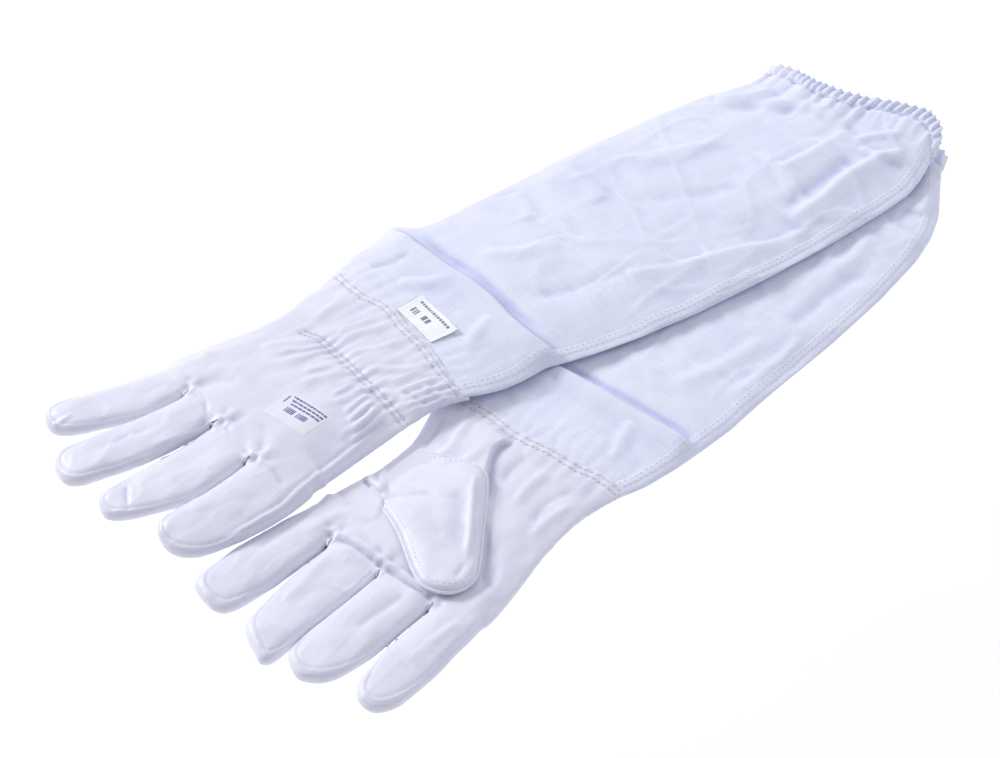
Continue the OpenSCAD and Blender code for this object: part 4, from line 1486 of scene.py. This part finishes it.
# ridges and grooves of the right thumb: (x, y) points, width, height, shares faded at ends
THUMB_RIDGES = [
    ([(-101, -40), (-90, -35), (-78, -27), (-66, -18), (-56, -11), (-46, -4)],
     2.0, 1.3, (0.3, 0.1)),
    ([(-100, -34), (-89, -27), (-77, -18), (-66, -9), (-57, -1)], 4.4, -1.2, (0.3, 0.2)),
    ([(-110, -30), (-100, -18), (-90, -4), (-80, 12)], 5.0, 0.8, (0.3, 0.3)),
    ([(-84, 26), (-76, 12), (-66, 2)], 4.0, -0.9, (0.2, 0.3)),
    ([(-108, -40), (-102, -41), (-97, -38)], 1.6, -0.7, (0.3, 0.3)),
]


def thumb_heights(glove, x, y, share, across):
    """heights of the thumb's upper and lower sides. share runs from tip to root, across
    from -1 to 1 between the edges"""
    # pillow shape, thin at the sewn edge and the tip
    pillow = ((1 - np.abs(across) ** 5.0) ** (1 / 1.9))[None, :]
    tip = ((1 - (1 - np.clip(share / 0.16, 0, 1)) ** 2.3) ** (1 / 2.0))[:, None]
    inside = np.minimum(1, (1 - np.abs(across)) * 6)[None, :] * tip
    seed = 241 if glove.left else 141
    dents = layered_noise(x.ravel(), y.ravel(), 22, seed).reshape(x.shape)
    if glove.left:
        # the root rises to the hand's sewn edge and closes on it
        boxes = [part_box("left_thumb_" + name) for name in ("outer", "inner")]
        middle = (min(low[2] for low, _ in boxes) * 1000
                  + max(high[2] for _, high in boxes) * 1000) / 2
        root = ease(0.66, 1.0, share)[:, None]
        edge = middle + (hand_middle(glove, -70.0, 46.0) - middle) * root + 0 * x
        half = 4.6 * pillow * tip * (1 - 0.82 * root)
        dents = 0.4 * dents * inside * (1 - root)
        return edge + half * 0.95 + 0.3 + dents * 0.5, edge - half - 0.3 + dents * 0.6
    # the sewn edge drops towards the root, where the thumb runs into the palm
    edge = (14.2 + 1.3 * (1 - share))[:, None]
    fullness = 3.9 * np.interp(share, [0, .2, .5, .8, 1], [0.85, 0.95, 1.0, 0.9, 0.5])
    before_root = (1 - ease(0.70, 1.0, share))[:, None]
    top = edge + fullness[:, None] * pillow * tip * (0.25 + 0.75 * before_root)
    ridges = sum(ridge(x.ravel(), y.ravel(), *entry) for entry in THUMB_RIDGES)
    top = top + (ridges.reshape(x.shape) + 0.7 * dents) * inside
    bottom = edge - 0.9 - 0.5 * pillow * tip
    # the root dips into the palm
    dip = ease(0.64, 1.0, share)[:, None] * 4.2 + ease(16, 30, y) * ease(-74, -88, x) * 2.4
    return top - dip, np.maximum(bottom - dip, 11.2)


def hold_thumb(glove, ob):
    # the left thumb stays sewn to the hand's edge; its pieces are only baked in place, while
    # the right thumb's are attached to right_thumb
    if glove.left:
        glove.blend(ob, "hand", "thumb", (-70, 44.5), (-70, 35))
    else:
        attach(ob, "right_thumb")


def build_thumb(glove):
    rows, columns = ((84, 46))
    share = np.linspace(0, 1, rows)
    finger_edge, wrist_edge = (at_shares(smooth_line(edge, 1.0, 6), share)
                               for edge in THUMB_EDGES[glove.side])
    # columns lie closer at the edges
    across = np.linspace(-1, 1, columns)
    across = np.sin(across * np.pi / 2) * 0.55 + across * 0.45
    middle, half = (finger_edge + wrist_edge) / 2, (wrist_edge - finger_edge) / 2
    x, y = (middle[:, None, k] + across[None, :] * half[:, None, k] for k in (0, 1))
    top, bottom = thumb_heights(glove, x, y, share, across)
    upper, lower = (np.stack([x.ravel(), y.ravel(), z.ravel()], 1) for z in (top, bottom))

    # upper and lower halves, each a sheet of leather
    faces, normals = facing_up(upper, quads(rows, columns))
    inside = (np.minimum(1, (1 - np.abs(across)) * 5)[None, :]
              * np.minimum(1, share * 8)[:, None]).ravel()
    upper_name, lower_name = ("inner", "outer") if glove.left else ("outer", "inner")
    piece = Piece()
    piece.shell(upper, faces, normals, 0.8, crease_depth(upper[:, 2], faces, inside))
    hold_thumb(glove, piece.make(glove, f"thumb_{upper_name}_leather", LEATHER,
                                 "thumb_" + upper_name))
    piece = Piece()
    below = faces[:, ::-1]
    piece.shell(lower, below, vertex_normals(lower, below), 0.8 if glove.left else 0.5)
    hold_thumb(glove, piece.make(glove, f"thumb_{lower_name}_leather", LEATHER,
                                 "thumb_" + lower_name))

    # rolled welt round the edge
    edge_height = (top + bottom) / 2
    welt = smooth_line(np.concatenate([np.c_[finger_edge, edge_height[:, 0]][::-1],
                                       np.c_[wrist_edge, edge_height[:, -1]]]), 1.2, 4)
    along = np.gradient(welt[:, :2], axis=0)
    along /= np.linalg.norm(along, axis=1, keepdims=True) + 1e-9
    outward = np.stack([along[:, 1], -along[:, 0]], 1)
    centre = welt[:, :2].mean(0)
    outward *= np.sign(((welt[:, :2] - centre) * outward).sum(1).mean())
    welt[:, :2] += outward * 0.35
    piece = Piece()
    piece.tube(welt, 1.05 + 0.10 * np.sin(np.arange(len(welt)) * 1.2 * TURN / 3.4), sides=10)
    hold_thumb(glove, piece.make(glove, "thumb_welt_roll", LEATHER, "thumb_welt"))

    # stitches 3 mm inside the welt
    piece = Piece()
    piece.stitch(surface_tree(lower if glove.left else upper, faces),
                 (welt[:, :2] - outward * 3.0)[6:-6],
                 pitch=3.0, length=1.8, radius=0.17, up=not glove.left, lift=0.0)
    hold_thumb(glove, piece.make(glove, "thumb_thread", THREAD))


# ---------------------------------------------------------------------------
# stitching and elastic of the cuff and wrist


def join_stitching(glove, leather):
    """two rows of thread where leather and canvas join, on both faces"""
    side = glove.side
    ys = np.arange(float(HAND_LITTLE_SIDE[side](-4)) + 4,
                   float(HAND_THUMB_SIDE[side](-4)) - 3, 1.0)
    piece = Piece()
    for row in JOIN_ROWS:
        for up in (True, False):
            piece.stitch(leather, np.stack([LEATHER_EDGE[side](ys) - row, ys], 1),
                         pitch=3.4, length=2.4, radius=0.27, up=up)
    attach(piece.make(glove, "join_stitching_thread", THREAD, "join_stitching"),
            side + "_cuff")


def wrist_elastic(glove, leather):
    """a ribbed band on the inner face of the hand's back"""
    xs = np.linspace(WRIST_X - 3.5, WRIST_X + 3.5, 8)
    ys = np.arange(-55, 24.1, 0.8)
    inward = -2.0 if glove.left else 2.0
    points = np.array([
        (x, y, (surface_height(leather, x, y, glove.left) or 0) + inward
         + 0.22 * math.sin(y * TURN / 2.4))
        for x in xs for y in ys])
    piece = Piece()
    piece.flat_shell(points, quads(len(xs), len(ys)), 0.8)
    glove.bend_at_wrist(piece.make(glove, "wrist_elastic_band", ELASTIC, "wrist_elastic"))


def wrist_stitching(glove, leather):
    ys = np.arange(*((-60, 27) if glove.left else (-55, 24)), 1.0)
    piece = Piece()
    for row in WRIST_ROWS:
        piece.stitch(leather, np.stack([wrist_line(glove, ys) + row, ys], 1),
                     pitch=3.0, length=2.2, radius=0.26, up=glove.left)
    glove.bend_at_wrist(piece.make(glove, "wrist_stitching_thread", THREAD,
                                   "wrist_stitching"))


# ---------------------------------------------------------------------------
# label and print of the left glove. Plain bars stand for lettering

# (x, y) corners, in order round the patch. u runs from the first to the second, v from
# the first to the last
LABEL_CORNERS = [(0.8, -22.9), (17.4, -24.6), (18.9, 11.0), (2.0, 10.7)]
PRINT_CORNERS = [(-100.6, -15.4), (-80.2, -10.4), (-74.1, -39.8), (-93.2, -42.7)]


def bilinear(corners, u, v):
    first, second, third, fourth = (np.array(corner, float) for corner in corners)
    return ((1 - u) * (1 - v) * first + u * (1 - v) * second
            + u * v * third + (1 - u) * v * fourth)


def patch_points(corners, rows, columns):
    u = np.linspace(0, 1, rows)[:, None, None]
    v = np.linspace(0, 1, columns)[None, :, None]
    return bilinear(corners, u, v).reshape(-1, 2)


def add_bar(piece, place, u_range, v_range, rows):
    """a thin bar over a range of shares. place gives the point at u, v"""
    columns = max(3, int((v_range[1] - v_range[0]) * 30))
    points = [place(u, v) for u in np.linspace(*u_range, rows)
              for v in np.linspace(*v_range, columns)]
    piece.flat_shell(np.array(points), quads(rows, columns), 0.05)


def size_label(glove, leather, sleeve):
    """a tape caught in the join and lying on the canvas. u runs to its free edge"""
    rows, columns = 18, 34
    heights = []
    flat = patch_points(LABEL_CORNERS, rows, columns)
    shares = [(u, v) for u in np.linspace(0, 1, rows) for v in np.linspace(0, 1, columns)]
    for (x, y), (u, v) in zip(flat, shares):
        under = [surface_height(sleeve, x + dx, y + dy) or 0
                 for dx, dy in ((0, 0), (3, 0), (-3, 0), (0, 3), (0, -3))]
        base = float(np.mean(under))
        on_leather = surface_height(leather, x, y)
        if on_leather is not None and x < 3.5:
            base = max(base, on_leather)
        # the tape rises and ripples towards its free edge
        lift = (0.55 + 1.15 * u ** 1.6 + 0.5 * np.sin(v * 5.2 + 0.8) * u
                + 0.25 * np.sin(u * 7 + v * 3) * u)
        heights.append(max(base, under[0] + 0.05) + lift)
    height = np.array(heights).reshape(rows, columns)
    for _ in range(3):
        smoothed = height.copy()
        smoothed[1:-1, 1:-1] = (height[:-2, 1:-1] + height[2:, 1:-1] + height[1:-1, :-2]
                                + height[1:-1, 2:] + 2 * height[1:-1, 1:-1]) / 6
        height = smoothed
    points = np.c_[flat, height.ravel()]
    grid = points.reshape(rows, columns, 3)
    piece = Piece()
    piece.flat_shell(points, quads(rows, columns), 0.45)
    # a fine roll along both short sides
    for k in (0, columns - 1):
        piece.tube(grid[:, k] + np.array([0, 0, 0.02]), 0.28)
    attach(piece.make(glove, "size_label_tape", LABEL, "size_label"), "left_label")

    def on_tape(u, v):
        row = min(rows - 1.001, max(0, u * (rows - 1)))
        column = min(columns - 1.001, max(0, v * (columns - 1)))
        i, j = int(row), int(column)
        corners = (grid[i, j], grid[i + 1, j], grid[i + 1, j + 1], grid[i, j + 1])
        return bilinear(corners, row - i, column - j) + np.array([0, 0, 0.07])

    piece = Piece()
    random = np.random.RandomState(4)
    v = 0.10
    while v < 0.86:
        width = 0.025 + 0.03 * random.rand()
        add_bar(piece, on_tape, (0.76, 0.85), (v, v + width), rows=3)
        v += width + 0.018
    # two wide bars in the middle and three narrow ones beside them
    for u_range, v_range in (((0.34, 0.56), (0.40, 0.46)), ((0.34, 0.56), (0.49, 0.57)),
                             ((0.30, 0.54), (0.70, 0.725)), ((0.30, 0.54), (0.745, 0.77)),
                             ((0.30, 0.54), (0.80, 0.84))):
        add_bar(piece, on_tape, u_range, v_range, rows=3)
    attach(piece.make(glove, "label_marks", LABEL_INK), "left_label")


def print_patch(glove, leather):
    """a film printed on the back of the hand, with its marks"""
    def on_leather(x, y, lift):
        return x, y, (surface_height(leather, x, y) or 20) + lift

    rows, columns = 26, 34
    piece = Piece()
    film = [on_leather(x, y, 0.09) for x, y in patch_points(PRINT_CORNERS, rows, columns)]
    piece.flat_shell(np.array(film), quads(rows, columns), 0.16)
    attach(piece.make(glove, "print_patch_film", PRINT, "print_patch"), "left_hand")

    def on_film(u, v):
        return on_leather(*bilinear(PRINT_CORNERS, u, v), 0.15)

    piece = Piece()
    random = np.random.RandomState(9)
    # three broken rules: u of the middle, v of the start and end
    for u, v, end in ((0.90, 0.18, 0.96), (0.775, 0.22, 0.97), (0.655, 0.26, 0.94)):
        while v < end - 0.03:
            width = 0.03 + 0.075 * random.rand()
            add_bar(piece, on_film, (u - 0.030, u + 0.030), (v, min(end, v + width)), rows=2)
            v += width + 0.016
    # two blocks of six bars
    for start, end in ((0.27, 0.49), (0.55, 0.79)):
        pitch = (end - start) / 6
        for k in range(6):
            v = start + k * pitch
            width = pitch * (0.45 + 0.3 * random.rand())
            add_bar(piece, on_film, (0.34, 0.53), (v, v + width), rows=5)
    add_bar(piece, on_film, (0.60, 0.86), (0.10, 0.125), rows=6)
    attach(piece.make(glove, "print_marks", PRINT_INK), "left_hand")


# ---------------------------------------------------------------------------
# stage, in metres

scene = bpy.context.scene
# level directions of the camera's view and of the picture's right
FORWARD = Vector((0.6947, 0.7193, 0))
RIGHT = Vector((0.7193, -0.6947, 0))
# low enough for a hand bent down at the wrist to stay in sight
FLOOR_Z = -0.128


def add_floor():
    bpy.ops.mesh.primitive_plane_add(size=1, location=(0, 0, FLOOR_Z))
    floor = bpy.context.object
    floor.name = "floor"
    floor.scale = (30, 30, 1)
    m = Shader("paper")
    m.set({
        "Base Color": m.ramp(m.noise(scale=0.5, detail=2), (0.3, (0.40, 0.40, 0.405)),
                             (0.7, (0.42, 0.42, 0.425))),
        "Roughness": 0.95, "Specular IOR Level": 0.1,
        "Emission Color": (1, 1, 1, 1), "Emission Strength": 0.70})
    floor.data.materials.append(m.material)


def add_world():
    """a sky that pales upwards"""
    world = bpy.data.worlds.new("studio")
    scene.world = world
    world.use_nodes = True
    tree = world.node_tree
    tree.nodes.clear()
    place = add_node(tree, "TexCoord", {}).outputs["Generated"]
    height = add_node(tree, "SeparateXYZ", {0: place}).outputs[2]
    sky = add_ramp(tree, height, [(0.0, (0.55, 0.60, 0.80)), (0.75, (0.97, 0.975, 1.0))])
    background = add_node(tree, "Background", {"Color": sky, "Strength": 0.535})
    add_node(tree, "OutputWorld", {0: background.outputs[0]})


def add_aimed(name, data, location, target):
    ob = bpy.data.objects.new(name, data)
    scene.collection.objects.link(ob)
    ob.location = location
    ob.rotation_mode = "QUATERNION"
    ob.rotation_quaternion = (target - location).to_track_quat("-Z", "Y")
    return ob


def add_light(name, forward, right, height, size, power, colour=(1, 1, 1)):
    """a rectangular lamp aimed at the origin"""
    light = bpy.data.lights.new(name, "AREA")
    light.shape = "RECTANGLE"
    light.size, light.size_y = size
    light.energy = power
    light.color = colour
    location = FORWARD * forward + RIGHT * right + Vector((0, 0, height))
    add_aimed(name, light, location, Vector((0, 0, 0)))


def add_camera():
    camera = bpy.data.cameras.new("camera")
    camera.lens = 79.2
    camera.sensor_width = 36
    camera.clip_start, camera.clip_end = 0.01, 50
    distance = 1.18984
    pitch = math.radians(44)
    target = Vector((-0.05360, -0.002665, 0))
    location = (target - FORWARD * (distance * math.cos(pitch))
                + Vector((0, 0, distance * math.sin(pitch))))
    scene.camera = add_aimed("camera", camera, location, target)


# ---------------------------------------------------------------------------
# build

for glove in (Glove("right"), Glove("left")):
    leather_tree = build_leather(glove)
    sleeve_tree = build_sleeve(glove)
    build_thumb(glove)
    join_stitching(glove, leather_tree)
    wrist_elastic(glove, leather_tree)
    wrist_stitching(glove, leather_tree)
    if glove.left:
        size_label(glove, leather_tree, sleeve_tree)
        print_patch(glove, leather_tree)

add_floor()
add_world()
add_light("key", forward=2.3, right=-3.9, height=2.7, size=(2.0, 1.5), power=205.0)
add_light("side", forward=2.8, right=0.3, height=2.4, size=(1.9, 1.4), power=14.0)
add_light("fill", forward=0, right=2.4, height=2.0, size=(2.4, 1.8), power=24.0,
          colour=(0.92, 0.94, 1))
add_camera()
scene.view_settings.view_transform = "Standard"
scene.view_settings.look = "None"
scene.view_settings.exposure = 0.0
